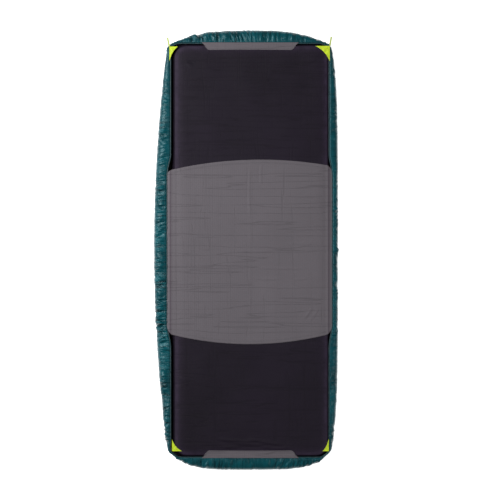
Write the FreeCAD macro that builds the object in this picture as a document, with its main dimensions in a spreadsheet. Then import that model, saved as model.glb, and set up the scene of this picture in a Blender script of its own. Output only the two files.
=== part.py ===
"""Self-inflating sleeping pad held in a padded fitted cover, lying ground face up.

Frame: millimetres, +Z up, +Y towards the head end, origin on the floor under the middle of the cover.
"""
import FreeCAD, Part
import math
import os
import Sketcher

Vector = FreeCAD.Vector

SIZES = {
    # pad: a foam slab between two flat skins, with side walls that bulge when it is inflated
    "pad_width": 762.0,
    "pad_length": 1981.0,
    "pad_thick": 100.0,
    "pad_floor": 16.4,
    "pad_shift_x": 26.0,
    "pad_shift_y": -2.5,
    "side_bulge": 23.0,
    "face_corner": 52.0,
    "skin_thick": 0.6,
    "wall_thick": 0.8,
    "foam_gap": 1.0,
    "core_radius": 11.0,
    "core_count": 15,
    "core_pitch": 125.0,
    # valves: seen along their own axis, which points out of the foot end of the pad
    "inflation_x": 146.0,
    "deflation_x": -94.0,
    "flange_radius": 20.0,
    "flange_back": 4.0,
    "flange_front": 0.6,
    "barrel_radius": 13.0,
    "barrel_depth": 16.0,
    "port_radius": 10.5,
    "collar_height": 5.4,
    "seat_radius": 7.5,
    "seat_front": 7.5,
    "seat_back": 9.0,
    "spoke_width": 1.6,
    "flap_radius": 9.6,
    "flap_gap": 0.1,
    "flap_thick": 0.8,
    "guard_thick": 1.0,
    "guard_hole": 1.1,
    "guard_ring": 6.0,
    "guard_count": 12,
    "cap_radius": 14.0,
    "cap_back": 6.2,
    "cap_front": 8.6,
    "plug_radius": 9.9,
    "plug_wall": 1.6,
    "plug_end": 2.2,
    "gasket_inner": 10.8,
    "gasket_outer": 12.8,
    "gasket_back": 5.5,
    "pin_radius": 1.0,
    "pin_offset": 16.5,
    "pin_height": 6.4,
    "knuckle_radius": 2.6,
    "knuckle_width": 5.6,
    "knuckle_bore": 1.08,
    "ear_gap": 6.4,
    "ear_width": 10.4,
    # cover: a padded base, four skirts that rise round the pad and an elastic hem
    "cover_half_width": 440.0,
    "cover_half_length": 1050.0,
    "fabric_thick": 1.0,
    "base_thick": 16.0,
    "skirt_thick": 3.0,
    "skirt_base_inset": 9.0,
    "skirt_widest": 55.0,
    "base_gap": 0.5,
    "hem_height": 116.0,
    "hem_narrow": 14.0,
    "elastic_start": 1.0,
    "elastic_width": 6.0,
    "elastic_thick": 1.4,
    "elastic_gap": 0.1,
    # panels and pockets that hold the pad in the cover
    "panel_thick": 1.2,
    "panel_clear": 0.4,
    "sleeve_left": -377.0,
    "sleeve_right": 413.0,
    "sleeve_side_top": 352.0,
    "sleeve_side_foot": -343.0,
    "sleeve_head": 428.0,
    "sleeve_foot": -447.0,
    "sleeve_bend": 21.0,
    "sleeve_drop": 1.9,
    "sleeve_corner": 30.0,
    "sleeve_hem_ease": 16.0,
    "tab_long": 462.0,
    "tab_short": 394.0,
    "tab_depth": 37.0,
    "tab_corner": 12.0,
    "tab_x": 21.0,
    "tab_head_y": 986.0,
    "tab_foot_y": -988.0,
    "pull_width": 9.0,
    "pull_length": 46.0,
    "pull_thick": 2.0,
    "pull_start": 6.0,
}

# Each side of the cover bows out to its own straight line; its ends are pulled in towards the corners.
# outward: direction of the side; middle and half: its run; line: where it is widest; pull and power: its bow;
# hem: where the elastic edge runs, and under_sleeve: how far the centre sleeve pushes that edge out.
SIDES = {
    "left": {"outward": (-1, 0), "line": "cover_half_width", "middle": 10.0, "half": 955.0,
             "pull": 62.0, "power": 2.0, "hem": 360.0, "under_sleeve": 17.5},
    "head": {"outward": (0, 1), "line": "cover_half_length", "middle": 18.0, "half": 380.0,
             "pull": 70.0, "power": 3.0, "hem": 985.0, "under_sleeve": 0.0},
    "right": {"outward": (1, 0), "line": "cover_half_width", "middle": 10.0, "half": 955.0,
              "pull": 30.0, "power": 6.0, "hem": 399.0, "under_sleeve": 14.5},
    "foot": {"outward": (0, -1), "line": "cover_half_length", "middle": 18.0, "half": 380.0,
             "pull": 80.0, "power": 4.5, "hem": 988.0, "under_sleeve": 0.0},
}
STATIONS = (0.0, 0.18, 0.34, 0.37, 0.4, 0.43, 0.46, 0.58, 0.7, 0.8, 0.88, 0.94, 0.975)

# Corner pockets: the sewn corner, and the legs along the end hem and along the side hem
POCKETS = {
    "head_left": {"corner": (-363.0, 966.0), "legs": (41.0, 71.0), "inward": (1, -1)},
    "head_right": {"corner": (399.0, 969.0), "legs": (69.0, 74.0), "inward": (-1, -1)},
    "foot_left": {"corner": (-350.0, -955.0), "legs": (47.0, 55.0), "inward": (1, 1)},
    "foot_right": {"corner": (394.0, -955.0), "legs": (30.0, 60.0), "inward": (-1, 1)},
}
POCKET_WAIST = 0.8
PULL_TABS = {"head_left": (-6.0, 29.0), "head_right": (9.0, 53.0)}

doc = FreeCAD.newDocument("SleepingPad")


# ---------------------------------------------------------------- document helpers

def make_sheet():
    """Driving dimensions, one aliased cell each."""
    sheet = doc.addObject("Spreadsheet::Sheet", "Sizes")
    for row, (alias, value) in enumerate(SIZES.items(), start=1):
        sheet.set("A%d" % row, alias)
        sheet.set("B%d" % row, str(value))
        sheet.setAlias("B%d" % row, alias)
    doc.recompute()
    return sheet


def new_body(label):
    body = doc.addObject("PartDesign::Body", "Body_" + label)
    body.Label = label
    return body


def new_sketch(body, name, plane):
    """A sketch on one of the body's own origin planes."""
    sketch = body.newObject("Sketcher::SketchObject", name)
    origin_plane = [item for item in body.Origin.OriginFeatures if item.Role == plane][0]
    sketch.AttachmentSupport = [(origin_plane, "")]
    sketch.MapMode = "FlatFace"
    return sketch


def bind(sketch, index, expression):
    sketch.setExpression("Constraints[%d]" % index, expression)


def cell_names(expression):
    """Write each size's name as a reference to its cell."""
    words = expression.replace("(", " ( ").replace(")", " ) ").split()
    return " ".join("Sizes." + word if word in SIZES else word for word in words)


def value_of(expression):
    """The expression's value in millimetres, read through a spare cell of the sheet."""
    sheet.set("D1", "=" + expression)
    sheet.recompute()
    return float(sheet.get("D1"))


def place_point(sketch, geometry, position, x_rule, y_rule):
    """Fix one point of a sketch at two expressions from the sketch's origin."""
    for axis, rule in (("X", x_rule), ("Y", y_rule)):
        start = value_of(rule)
        if start == 0.0:
            line = -2 if axis == "X" else -1
            sketch.addConstraint(Sketcher.Constraint("PointOnObject", geometry, position, line))
            continue
        kind = "Distance" + axis
        index = sketch.addConstraint(Sketcher.Constraint(kind, -1, 1, geometry, position, start))
        bind(sketch, index, cell_names(rule))


def polygon_sketch(body, name, plane, corners):
    """A closed outline of straight lines; corners are pairs of expressions."""
    sketch = new_sketch(body, name, plane)
    points = [Vector(value_of(x_rule), value_of(y_rule), 0) for x_rule, y_rule in corners]
    count = len(points)
    for index, point in enumerate(points):
        sketch.addGeometry(Part.LineSegment(point, points[(index + 1) % count]), False)
    for index in range(count):
        sketch.addConstraint(Sketcher.Constraint("Coincident", index, 2, (index + 1) % count, 1))
    for index, (x_rule, y_rule) in enumerate(corners):
        place_point(sketch, index, 1, x_rule, y_rule)
    doc.recompute()
    return sketch


def circle_sketch(body, name, plane, radii, x_rule="0", y_rule="0"):
    """Concentric circles, each with a radius bound to an expression."""
    sketch = new_sketch(body, name, plane)
    centre = Vector(value_of(x_rule), value_of(y_rule), 0)
    for rule in radii:
        geometry = sketch.addGeometry(Part.Circle(centre, Vector(0, 0, 1), value_of(rule)), False)
        index = sketch.addConstraint(Sketcher.Constraint("Radius", geometry, value_of(rule)))
        bind(sketch, index, cell_names(rule))
        place_point(sketch, geometry, 3, x_rule, y_rule)
    doc.recompute()
    return sketch


def pad_feature(body, name, sketch, length, midplane=False, reverse=False):
    pad = body.newObject("PartDesign::Pad", name)
    pad.Profile = sketch
    pad.setExpression("Length", cell_names(length))
    pad.Midplane = midplane
    pad.Reversed = reverse
    doc.recompute()
    return pad


def pocket_through(body, name, sketch, midplane=True):
    """Cut right through; a pocket that misses the solid is an error."""
    before = body.Shape.Volume
    pocket = body.newObject("PartDesign::Pocket", name)
    pocket.Profile = sketch
    pocket.Type = "ThroughAll"
    pocket.Midplane = midplane
    doc.recompute()
    if body.Shape.Volume >= before:
        raise RuntimeError("pocket %s removed nothing" % name)
    return pocket


def revolve(body, name, sketch):
    revolution = body.newObject("PartDesign::Revolution", name)
    revolution.Profile = sketch
    revolution.ReferenceAxis = (sketch, ["V_Axis"])
    revolution.Angle = 360.0
    doc.recompute()
    return revolution


def upright_edges(shape, low_y=None, high_y=None):
    """Names of the vertical edges, between two Y values where they are given."""
    names = []
    for index, edge in enumerate(shape.Edges, start=1):
        box = edge.BoundBox
        if box.XLength > 1e-6 or box.YLength > 1e-6:
            continue
        if low_y is not None and box.YMin < low_y:
            continue
        if high_y is not None and box.YMax > high_y:
            continue
        names.append("Edge%d" % index)
    return names


def round_edges(body, feature, names, radius):
    fillet = body.newObject("PartDesign::Fillet", feature.Name + "_round")
    fillet.Base = (feature, names)
    fillet.setExpression("Radius", cell_names(radius))
    doc.recompute()
    return fillet


def plain_solid(label, shape):
    """A sub-part that is a draped or bowed shell, whose shape is worked out from the sheet."""
    feature = doc.addObject("Part::Feature", "Solid_" + label)
    feature.Label = label
    feature.Shape = shape
    feature.Placement = FreeCAD.Placement()
    return feature


sheet = make_sheet()


def size(alias):
    return float(sheet.get(alias))


# ---------------------------------------------------------------- pad

FACE_HALF_X = "( pad_width / 2 - side_bulge )"
FACE_HALF_Y = "( pad_length / 2 - side_bulge )"


def pad_middle(height):
    return FreeCAD.Placement(Vector(size("pad_shift_x"), size("pad_shift_y"), height), FreeCAD.Rotation())


def rounded_slab(label, trim, thick, corner):
    """A flat slab of the pad's face outline, trimmed all round."""
    body = new_body(label)
    half_x = FACE_HALF_X + " - " + trim
    half_y = FACE_HALF_Y + " - " + trim
    outline = polygon_sketch(body, label + "_outline", "XY_Plane", (
        ("0 - ( " + half_x + " )", "0 - ( " + half_y + " )"),
        (half_x, "0 - ( " + half_y + " )"),
        (half_x, half_y),
        ("0 - ( " + half_x + " )", half_y)))
    slab = pad_feature(body, label + "_slab", outline, thick)
    round_edges(body, slab, upright_edges(slab.Shape), corner)
    return body


def make_skins():
    ground = rounded_slab("pad_ground_skin", "0", "skin_thick", "face_corner")
    ground.Placement = pad_middle(size("pad_floor") + size("pad_thick") - size("skin_thick"))
    sleep = rounded_slab("pad_sleep_skin", "0", "skin_thick", "face_corner")
    sleep.Placement = pad_middle(size("pad_floor"))
    return [ground, sleep]


def make_foam():
    """The foam slab, cored from side to side by a row of round holes to save weight."""
    body = rounded_slab("foam_core", "foam_gap", "pad_thick - 2 * skin_thick", "face_corner - foam_gap")
    hole = circle_sketch(body, "core_hole", "YZ_Plane", ["core_radius"],
                         "0 - ( core_count - 1 ) / 2 * core_pitch", "pad_thick / 2 - skin_thick")
    cut = pocket_through(body, "coring", hole)
    row = body.newObject("PartDesign::LinearPattern", "coring_row")
    row.Originals = [cut]
    row.Direction = (hole, ["H_Axis"])
    row.setExpression("Length", "( Sizes.core_count - 1 ) * Sizes.core_pitch")
    row.Occurrences = int(size("core_count"))
    body.Tip = row
    doc.recompute()
    body.Placement = pad_middle(size("pad_floor") + size("skin_thick"))
    return [body]


def band_section():
    """Section of the side wall at the +X face seam: two arcs, joined by short ends at the seams."""
    seam = value_of(FACE_HALF_X)
    bulge = size("side_bulge")
    top = size("pad_thick")
    wall = size("wall_thick")
    outer = Part.Arc(Vector(seam, 0, 0), Vector(seam + bulge, 0, top / 2), Vector(seam, 0, top))
    inner = Part.Arc(Vector(seam, 0, top - wall), Vector(seam + bulge - wall, 0, top / 2),
                     Vector(seam, 0, wall))
    upper = Part.LineSegment(Vector(seam, 0, top), Vector(seam, 0, top - wall))
    lower = Part.LineSegment(Vector(seam, 0, wall), Vector(seam, 0, 0))
    return Part.Face(Part.Wire([piece.toShape() for piece in (outer, upper, inner, lower)]))


def make_side_wall():
    """The band round the pad, bulged by the air: straight runs, quarter turns and a hole for each valve."""
    section = band_section()
    half_x = value_of(FACE_HALF_X)
    half_y = value_of(FACE_HALF_Y)
    straight_x = half_x - size("face_corner")
    straight_y = half_y - size("face_corner")
    up = Vector(0, 0, 1)
    pieces = []
    for turn, half_run, reach in ((0, straight_y, half_x), (90, straight_x, half_y),
                                  (180, straight_y, half_x), (270, straight_x, half_y)):
        run = section.copy()
        run.translate(Vector(reach - half_x, -half_run, 0))
        run = run.extrude(Vector(0, 2 * half_run, 0))
        run.rotate(Vector(), up, turn)
        pieces.append(run)
    for x_sign, y_sign, start in ((1, 1, 0), (-1, 1, 90), (-1, -1, 180), (1, -1, 270)):
        centre = Vector(x_sign * straight_x, y_sign * straight_y, 0)
        quarter = section.copy()
        quarter.translate(Vector(-straight_x, 0, 0))
        quarter.rotate(Vector(), up, start)
        quarter.translate(centre)
        pieces.append(quarter.revolve(centre, up, 90))
    band = pieces[0].multiFuse(pieces[1:]).removeSplitter()
    for valve_x in (size("inflation_x"), size("deflation_x")):
        base = Vector(valve_x - size("pad_shift_x"), -half_y, size("pad_thick") / 2)
        band = band.cut(Part.makeCylinder(size("flange_radius"), size("side_bulge"), base, Vector(0, -1, 0)))
    feature = plain_solid("pad_side_wall", band)
    feature.Placement = pad_middle(size("pad_floor"))
    return [feature]


# ---------------------------------------------------------------- valves

def valve_placement(x_place):
    """Valve axis outwards from the crest of the foot end's bulge, hinge towards +X."""
    crest = size("pad_shift_y") - size("pad_length") / 2
    middle = size("pad_floor") + size("pad_thick") / 2
    return FreeCAD.Placement(Vector(x_place, crest, middle), FreeCAD.Rotation(Vector(1, 0, 0), 90))


def valve_housing(label, with_seat):
    """Weld flange, barrel and collar in one turned piece, with two ears for the hinge pin."""
    body = new_body(label)
    profile = [
        ("port_radius", "0 - barrel_depth"),
        ("barrel_radius", "0 - barrel_depth"),
        ("barrel_radius", "0 - flange_back"),
        ("flange_radius", "0 - flange_back"),
        ("flange_radius", "flange_front"),
        ("barrel_radius", "flange_front"),
        ("barrel_radius", "collar_height"),
        ("port_radius", "collar_height"),
    ]
    if with_seat:
        profile += [
            ("port_radius", "0 - seat_front"),
            ("seat_radius", "0 - seat_front"),
            ("seat_radius", "0 - seat_back"),
            ("port_radius", "0 - seat_back"),
        ]
    turned = polygon_sketch(body, label + "_profile", "XZ_Plane", profile)
    revolve(body, label + "_turned", turned)
    if with_seat:
        add_spokes(body, label)
    ear = polygon_sketch(body, label + "_ear", "XZ_Plane", (
        ("pin_offset - knuckle_radius", "0"),
        ("pin_offset + knuckle_radius", "0"),
        ("pin_offset + knuckle_radius", "pin_height + knuckle_radius / 2"),
        ("pin_offset + knuckle_radius / 2", "pin_height + knuckle_radius"),
        ("pin_offset - knuckle_radius / 2", "pin_height + knuckle_radius"),
        ("pin_offset - knuckle_radius", "pin_height + knuckle_radius / 2")))
    pad_feature(body, label + "_ears", ear, "ear_width", midplane=True)
    slot = polygon_sketch(body, label + "_slot", "XY_Plane", (
        ("barrel_radius + 0.1", "0 - ear_gap / 2"),
        ("pin_offset + knuckle_radius + 1", "0 - ear_gap / 2"),
        ("pin_offset + knuckle_radius + 1", "ear_gap / 2"),
        ("barrel_radius + 0.1", "ear_gap / 2")))
    cut = body.newObject("PartDesign::Pocket", label + "_gap")
    cut.Profile = slot
    cut.Type = "Length"
    cut.setExpression("Length", "Sizes.pin_height + Sizes.knuckle_radius + 1")
    cut.Reversed = True
    doc.recompute()
    restore = polygon_sketch(body, label + "_flange_top", "XY_Plane", (
        ("barrel_radius - 1", "0 - ear_gap / 2"),
        ("pin_offset + knuckle_radius - 0.5", "0 - ear_gap / 2"),
        ("pin_offset + knuckle_radius - 0.5", "ear_gap / 2"),
        ("barrel_radius - 1", "ear_gap / 2")))
    pad_feature(body, label + "_flange_fill", restore, "flange_front")
    hole = circle_sketch(body, label + "_pin_hole", "XZ_Plane", ["pin_radius"], "pin_offset", "pin_height")
    pocket_through(body, label + "_pin_bore", hole)
    return body


def add_spokes(body, label):
    """Three spokes across the seat, which carry the middle of the one-way flap."""
    spoke = polygon_sketch(body, label + "_spoke", "XY_Plane", (
        ("0", "0 - spoke_width / 2"),
        ("seat_radius + 0.5", "0 - spoke_width / 2"),
        ("seat_radius + 0.5", "spoke_width / 2"),
        ("0", "spoke_width / 2")))
    spoke.AttachmentOffset = FreeCAD.Placement(Vector(0, 0, -size("seat_back")), FreeCAD.Rotation())
    spoke.setExpression("AttachmentOffset.Base.z", "0 - Sizes.seat_back")
    arm = pad_feature(body, label + "_spoke_arm", spoke, "seat_back - seat_front")
    ring = body.newObject("PartDesign::PolarPattern", label + "_spokes")
    ring.Originals = [arm]
    ring.Axis = (spoke, ["N_Axis"])
    ring.Angle = 360
    ring.Occurrences = 3
    body.Tip = ring
    doc.recompute()


def valve_guard(label):
    """Perforated disc that keeps foam crumbs out of the valve."""
    body = new_body(label)
    disc = circle_sketch(body, label + "_outline", "XY_Plane", ["port_radius"])
    pad_feature(body, label + "_disc", disc, "guard_thick")
    middle_hole = circle_sketch(body, label + "_middle", "XY_Plane", ["guard_hole"])
    pocket_through(body, label + "_middle_hole", middle_hole)
    first = circle_sketch(body, label + "_first", "XY_Plane", ["guard_hole"], "guard_ring", "0")
    hole = pocket_through(body, label + "_ring_hole", first)
    ring = body.newObject("PartDesign::PolarPattern", label + "_ring")
    ring.Originals = [hole]
    ring.Axis = (first, ["N_Axis"])
    ring.Angle = 360
    ring.Occurrences = int(size("guard_count"))
    body.Tip = ring
    doc.recompute()
    return body


def valve_flap(label):
    """One-way flap, seated against the inner side of the seat."""
    body = new_body(label)
    disc = circle_sketch(body, label + "_outline", "XY_Plane", ["flap_radius"])
    pad_feature(body, label + "_disc", disc, "flap_thick")
    return body


def valve_cap(label):
    """Cap plate with a hollow plug and the knuckle that turns on the hinge pin."""
    body = new_body(label)
    turned = polygon_sketch(body, label + "_profile", "XZ_Plane", (
        ("0", "cap_back"),
        ("plug_radius - plug_wall", "cap_back"),
        ("plug_radius - plug_wall", "plug_end"),
        ("plug_radius", "plug_end"),
        ("plug_radius", "cap_back"),
        ("cap_radius", "cap_back"),
        ("cap_radius", "cap_front"),
        ("0", "cap_front")))
    revolve(body, label + "_turned", turned)
    arm = polygon_sketch(body, label + "_arm_outline", "XZ_Plane", (
        ("cap_radius - 2", "cap_back"),
        ("pin_offset", "cap_back"),
        ("pin_offset", "cap_front"),
        ("cap_radius - 2", "cap_front")))
    pad_feature(body, label + "_arm", arm, "knuckle_width", midplane=True)
    knuckle = circle_sketch(body, label + "_knuckle_outline", "XZ_Plane", ["knuckle_radius"],
                            "pin_offset", "pin_height")
    pad_feature(body, label + "_knuckle", knuckle, "knuckle_width", midplane=True)
    bore = circle_sketch(body, label + "_bore_outline", "XZ_Plane", ["knuckle_bore"],
                         "pin_offset", "pin_height")
    pocket_through(body, label + "_bore", bore)
    return body


def valve_gasket(label):
    """Flat ring under the cap plate, which seals on the collar."""
    body = new_body(label)
    ring = circle_sketch(body, label + "_outline", "XY_Plane", ["gasket_outer", "gasket_inner"])
    pad_feature(body, label + "_ring", ring, "cap_back - gasket_back")
    return body


def valve_pin(label):
    body = new_body(label)
    outline = circle_sketch(body, label + "_outline", "XZ_Plane", ["pin_radius"], "pin_offset", "pin_height")
    pad_feature(body, label + "_rod", outline, "ear_width", midplane=True)
    return body


def shifted(placement, along_axis):
    """The same valve placement, moved along the valve's own axis."""
    return placement.multiply(FreeCAD.Placement(Vector(0, 0, along_axis), FreeCAD.Rotation()))


def make_valve(name, x_place, with_flap):
    placement = valve_placement(x_place)
    bodies = {
        name + "_valve_housing": (valve_housing(name + "_valve_housing", with_flap), 0.0),
        name + "_valve_guard": (valve_guard(name + "_valve_guard"), -size("barrel_depth")),
        name + "_valve_cap": (valve_cap(name + "_valve_cap"), 0.0),
        name + "_valve_gasket": (valve_gasket(name + "_valve_gasket"), size("gasket_back")),
        name + "_valve_pin": (valve_pin(name + "_valve_pin"), 0.0),
    }
    if with_flap:
        seated = -(size("seat_back") + size("flap_gap") + size("flap_thick"))
        bodies[name + "_valve_flap"] = (valve_flap(name + "_valve_flap"), seated)
    for body, along_axis in bodies.values():
        body.Placement = shifted(placement, along_axis)
    return [body for body, _ in bodies.values()]


# ---------------------------------------------------------------- cover

def side_station(side, share):
    """Where the cover's side is cut across: the outermost point, the way out and the width to the hem."""
    spec = SIDES[side]
    way = Vector(spec["outward"][0], spec["outward"][1], 0)
    run = Vector(abs(way.y), abs(way.x), 0)
    along = spec["middle"] + share * spec["half"]
    out = size(spec["line"]) - spec["pull"] * abs(share) ** spec["power"]
    hem = spec["hem"] + spec["under_sleeve"] * sleeve_share(along)
    width = max(out - hem, size("hem_narrow"))
    return run * along + way * out, way, width


def sleeve_share(along):
    """1 beside the centre sleeve, 0 clear of it."""
    clear = size("sleeve_head") - size("sleeve_side_top")
    beyond = abs(along) - size("sleeve_side_top") - size("sleeve_hem_ease")
    return min(max(1.0 - beyond / clear, 0.0), 1.0)


def corner_station(side_a, share_a, side_b, share_b):
    """The mitre between two sides, half way round their corner."""
    point_a, way_a, _ = side_station(side_a, share_a)
    point_b, way_b, _ = side_station(side_b, share_b)
    way = (way_a + way_b).normalize()
    return (point_a + point_b) * 0.5 + way * 5.0, way, size("hem_narrow")


def skirt_stations(side, first_corner, last_corner):
    shares = sorted({-share for share in STATIONS} | set(STATIONS))
    return [first_corner] + [side_station(side, share) for share in shares] + [last_corner]


def skirt_outside(width):
    """Outer line of the skirt's section: inset from the widest line, and height."""
    top = size("hem_height")
    return [(width, top), (width * 0.45, top - 3.5), (width * 0.12, top - 18.0), (0.0, size("skirt_widest")),
            (3.0, 20.0), (size("skirt_base_inset"), 0.0)]


def skirt_inside(width):
    thick = size("skirt_thick")
    top = size("hem_height") - thick
    return [(width, top), (width * 0.45 + 1.0, top - 4.0), (width * 0.12 + thick, top - 18.0),
            (thick, size("skirt_widest")), (3.0 + thick, 20.0), (size("skirt_base_inset") + thick, 0.0)]


def section_wire(station, points):
    middle, way, _ = station
    corners = [middle - way * inset + Vector(0, 0, height) for inset, height in points]
    return Part.makePolygon(corners + corners[:1])


def skirt_section(station):
    return section_wire(station, skirt_outside(station[2]) + skirt_inside(station[2])[::-1])


def elastic_section(station):
    """The elastic's flat section, sewn along the inner face of the hem."""
    (tip_inset, tip_height), (next_inset, next_height) = skirt_inside(station[2])[:2]
    run = tip_inset - next_inset
    slope = (next_height - tip_height) / run
    start = size("elastic_start")
    finish = min(start + size("elastic_width"), run)
    low = size("elastic_gap") + size("elastic_thick")
    corners = []
    for reach, drop in ((start, size("elastic_gap")), (finish, size("elastic_gap")), (finish, low), (start, low)):
        corners.append((tip_inset - reach, tip_height + slope * reach - drop))
    return section_wire(station, corners)


def make_skirts():
    """Four bowed skirts that meet at mitred corner seams, each with the elastic in its hem."""
    head_left = corner_station("left", 1.0, "head", -1.0)
    head_right = corner_station("right", 1.0, "head", 1.0)
    foot_left = corner_station("left", -1.0, "foot", -1.0)
    foot_right = corner_station("right", -1.0, "foot", 1.0)
    ends = {"left": (foot_left, head_left), "head": (head_left, head_right),
            "right": (foot_right, head_right), "foot": (foot_left, foot_right)}
    parts = []
    for side, (first, last) in ends.items():
        stations = skirt_stations(side, first, last)
        skirt = Part.makeLoft([skirt_section(station) for station in stations], True, True)
        elastic = Part.makeLoft([elastic_section(station) for station in stations], True, True)
        parts.append(plain_solid("skirt_" + side, skirt))
        parts.append(plain_solid("hem_elastic_" + side, elastic))
    return parts


def base_outline():
    """Plan outline of the base, just inside the feet of the skirts."""
    inset = size("skirt_base_inset") + size("skirt_thick") + size("base_gap")
    order = (("left", 1), ("head", 1), ("right", -1), ("foot", -1))
    corners = []
    for side, direction in order:
        shares = sorted({-share for share in STATIONS} | set(STATIONS), reverse=direction < 0)
        for share in shares:
            point, way, _ = side_station(side, share)
            corners.append(point - way * inset)
    return corners


def make_base():
    """Three layers: outer fabric on the floor, fill, and the lining that the pad lies on."""
    corners = base_outline()
    face = Part.Face(Part.makePolygon(corners + corners[:1]))
    fabric = size("fabric_thick")
    total = size("base_thick")
    parts = []
    for label, low, high in (("cover_base_outer", 0.0, fabric),
                             ("cover_base_fill", fabric, total - fabric),
                             ("cover_base_lining", total - fabric, total)):
        layer = face.copy()
        layer.translate(Vector(0, 0, low))
        parts.append(plain_solid(label, layer.extrude(Vector(0, 0, high - low))))
    return parts


# ---------------------------------------------------------------- holding panels

def face_height():
    return size("pad_floor") + size("pad_thick")


def make_sleeve():
    """Wide stretch panel over the middle of the pad: bowed ends, and sides that dip to the hem."""
    left = size("sleeve_left")
    right = size("sleeve_right")
    bend = size("sleeve_bend")
    drop = size("sleeve_drop")
    thick = size("panel_thick")
    low = face_height()
    length = size("sleeve_head") - size("sleeve_foot")
    lower = [(left, low - drop), (left + bend, low), (right - bend, low), (right, low - drop)]
    upper = [(x, z + thick) for x, z in lower][::-1]
    section = [Vector(x, size("sleeve_foot"), z) for x, z in lower + upper]
    strip = Part.Face(Part.makePolygon(section + section[:1])).extrude(Vector(0, length, 0))
    top = size("sleeve_side_top")
    foot = size("sleeve_side_foot")
    corner = size("sleeve_corner")
    middle = (left + right) / 2
    ease = corner * 0.3
    outline = Part.Wire([edge.toShape() for edge in (
        Part.LineSegment(Vector(left, foot, 0), Vector(left, top, 0)),
        Part.Arc(Vector(left, top, 0), Vector(left + ease, top + 0.7 * corner, 0),
                 Vector(left + corner, top + corner, 0)),
        Part.Arc(Vector(left + corner, top + corner, 0), Vector(middle, size("sleeve_head"), 0),
                 Vector(right - corner, top + 1.7 * corner, 0)),
        Part.Arc(Vector(right - corner, top + 1.7 * corner, 0), Vector(right - ease, top + 1.2 * corner, 0),
                 Vector(right, top, 0)),
        Part.LineSegment(Vector(right, top, 0), Vector(right, foot, 0)),
        Part.Arc(Vector(right, foot, 0), Vector(right - ease, foot - 1.2 * corner, 0),
                 Vector(right - corner, foot - 2.0 * corner, 0)),
        Part.Arc(Vector(right - corner, foot - 2.0 * corner, 0), Vector(middle, size("sleeve_foot"), 0),
                 Vector(left + corner, foot - 2.0 * corner, 0)),
        Part.Arc(Vector(left + corner, foot - 2.0 * corner, 0), Vector(left + ease, foot - 1.2 * corner, 0),
                 Vector(left, foot, 0)))])
    plan = Part.Face(outline).extrude(Vector(0, 0, 2 * face_height()))
    return [plain_solid("centre_sleeve", strip.common(plan))]


def make_end_tab(label, hem_y, turn):
    """Small holding tab: its long side is sewn to the end hem and its free corners are rounded."""
    body = new_body(label)
    outline = polygon_sketch(body, label + "_outline", "XY_Plane", (
        ("0 - tab_long / 2", "0"),
        ("0 - tab_short / 2", "0 - tab_depth"),
        ("tab_short / 2", "0 - tab_depth"),
        ("tab_long / 2", "0")))
    sheet_feature = pad_feature(body, label + "_sheet", outline, "panel_thick")
    free_edges = upright_edges(sheet_feature.Shape, high_y=-size("tab_depth") / 2)
    round_edges(body, sheet_feature, free_edges, "tab_corner")
    height = face_height() + size("panel_clear")
    body.Placement = FreeCAD.Placement(Vector(size("tab_x"), hem_y, height),
                                       FreeCAD.Rotation(Vector(0, 0, 1), turn))
    return body


def make_pocket(label, spec):
    """Stretch corner pocket: two sewn legs along the hems and a free edge that curves in."""
    corner = Vector(spec["corner"][0], spec["corner"][1], face_height() + size("panel_clear"))
    along_end = corner + Vector(spec["inward"][0] * spec["legs"][0], 0, 0)
    along_side = corner + Vector(0, spec["inward"][1] * spec["legs"][1], 0)
    waist = (along_end + along_side) * 0.5 * POCKET_WAIST + corner * (1.0 - POCKET_WAIST)
    outline = Part.Wire([
        Part.LineSegment(corner, along_end).toShape(),
        Part.Arc(along_end, waist, along_side).toShape(),
        Part.LineSegment(along_side, corner).toShape()])
    return plain_solid(label, Part.Face(outline).extrude(Vector(0, 0, size("panel_thick"))))


def make_pull_tab(label, corner, reach):
    """Webbing pull tab sewn in the corner seam; it lies outwards over the skirt."""
    body = new_body(label)
    outline = polygon_sketch(body, label + "_outline", "XY_Plane", (
        ("0 - pull_width / 2", "pull_start"),
        ("pull_width / 2", "pull_start"),
        ("pull_width / 2", "pull_length"),
        ("0 - pull_width / 2", "pull_length")))
    pad_feature(body, label + "_webbing", outline, "pull_thick")
    turn = math.degrees(math.atan2(reach[1], reach[0])) - 90.0
    body.Placement = FreeCAD.Placement(
        Vector(corner[0], corner[1], face_height() + size("panel_clear")),
        FreeCAD.Rotation(Vector(0, 0, 1), turn))
    return body


def make_holding_parts():
    parts = make_sleeve()
    parts.append(make_end_tab("head_tab", size("tab_head_y"), 0))
    parts.append(make_end_tab("foot_tab", size("tab_foot_y"), 180))
    for place, spec in POCKETS.items():
        parts.append(make_pocket("corner_pocket_" + place, spec))
    for place, reach in PULL_TABS.items():
        parts.append(make_pull_tab("pull_tab_" + place, POCKETS[place]["corner"], reach))
    return parts


# ---------------------------------------------------------------- build, check, write

def check_document(parts):
    failed = [item.Label for item in doc.Objects if {"Invalid", "Error"} & set(item.State)]
    if failed:
        raise RuntimeError("failed objects: " + ", ".join(failed))
    for part in parts:
        if part.Shape.isNull() or not part.Shape.isValid():
            raise RuntimeError("bad shape: " + part.Label)
        if part.Shape.Volume <= 0:
            raise RuntimeError("inside out: " + part.Label)


def main():
    parts = make_skins() + make_foam() + make_side_wall()
    parts += make_valve("inflation", size("inflation_x"), True)
    parts += make_valve("deflation", size("deflation_x"), False)
    parts += make_base() + make_skirts() + make_holding_parts()
    doc.recompute()
    check_document(parts)
    os.makedirs("parts", exist_ok=True)
    for part in parts:
        part.Shape.exportStep("parts/%s.step" % part.Label)
        box = part.Shape.BoundBox
        print("%-28s %9.0f mm3  x %.1f..%.1f  y %.1f..%.1f  z %.1f..%.1f  solids %d" % (
            part.Label, part.Shape.Volume, box.XMin, box.XMax, box.YMin, box.YMax, box.ZMin, box.ZMax,
            len(part.Shape.Solids)))


main()
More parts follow.
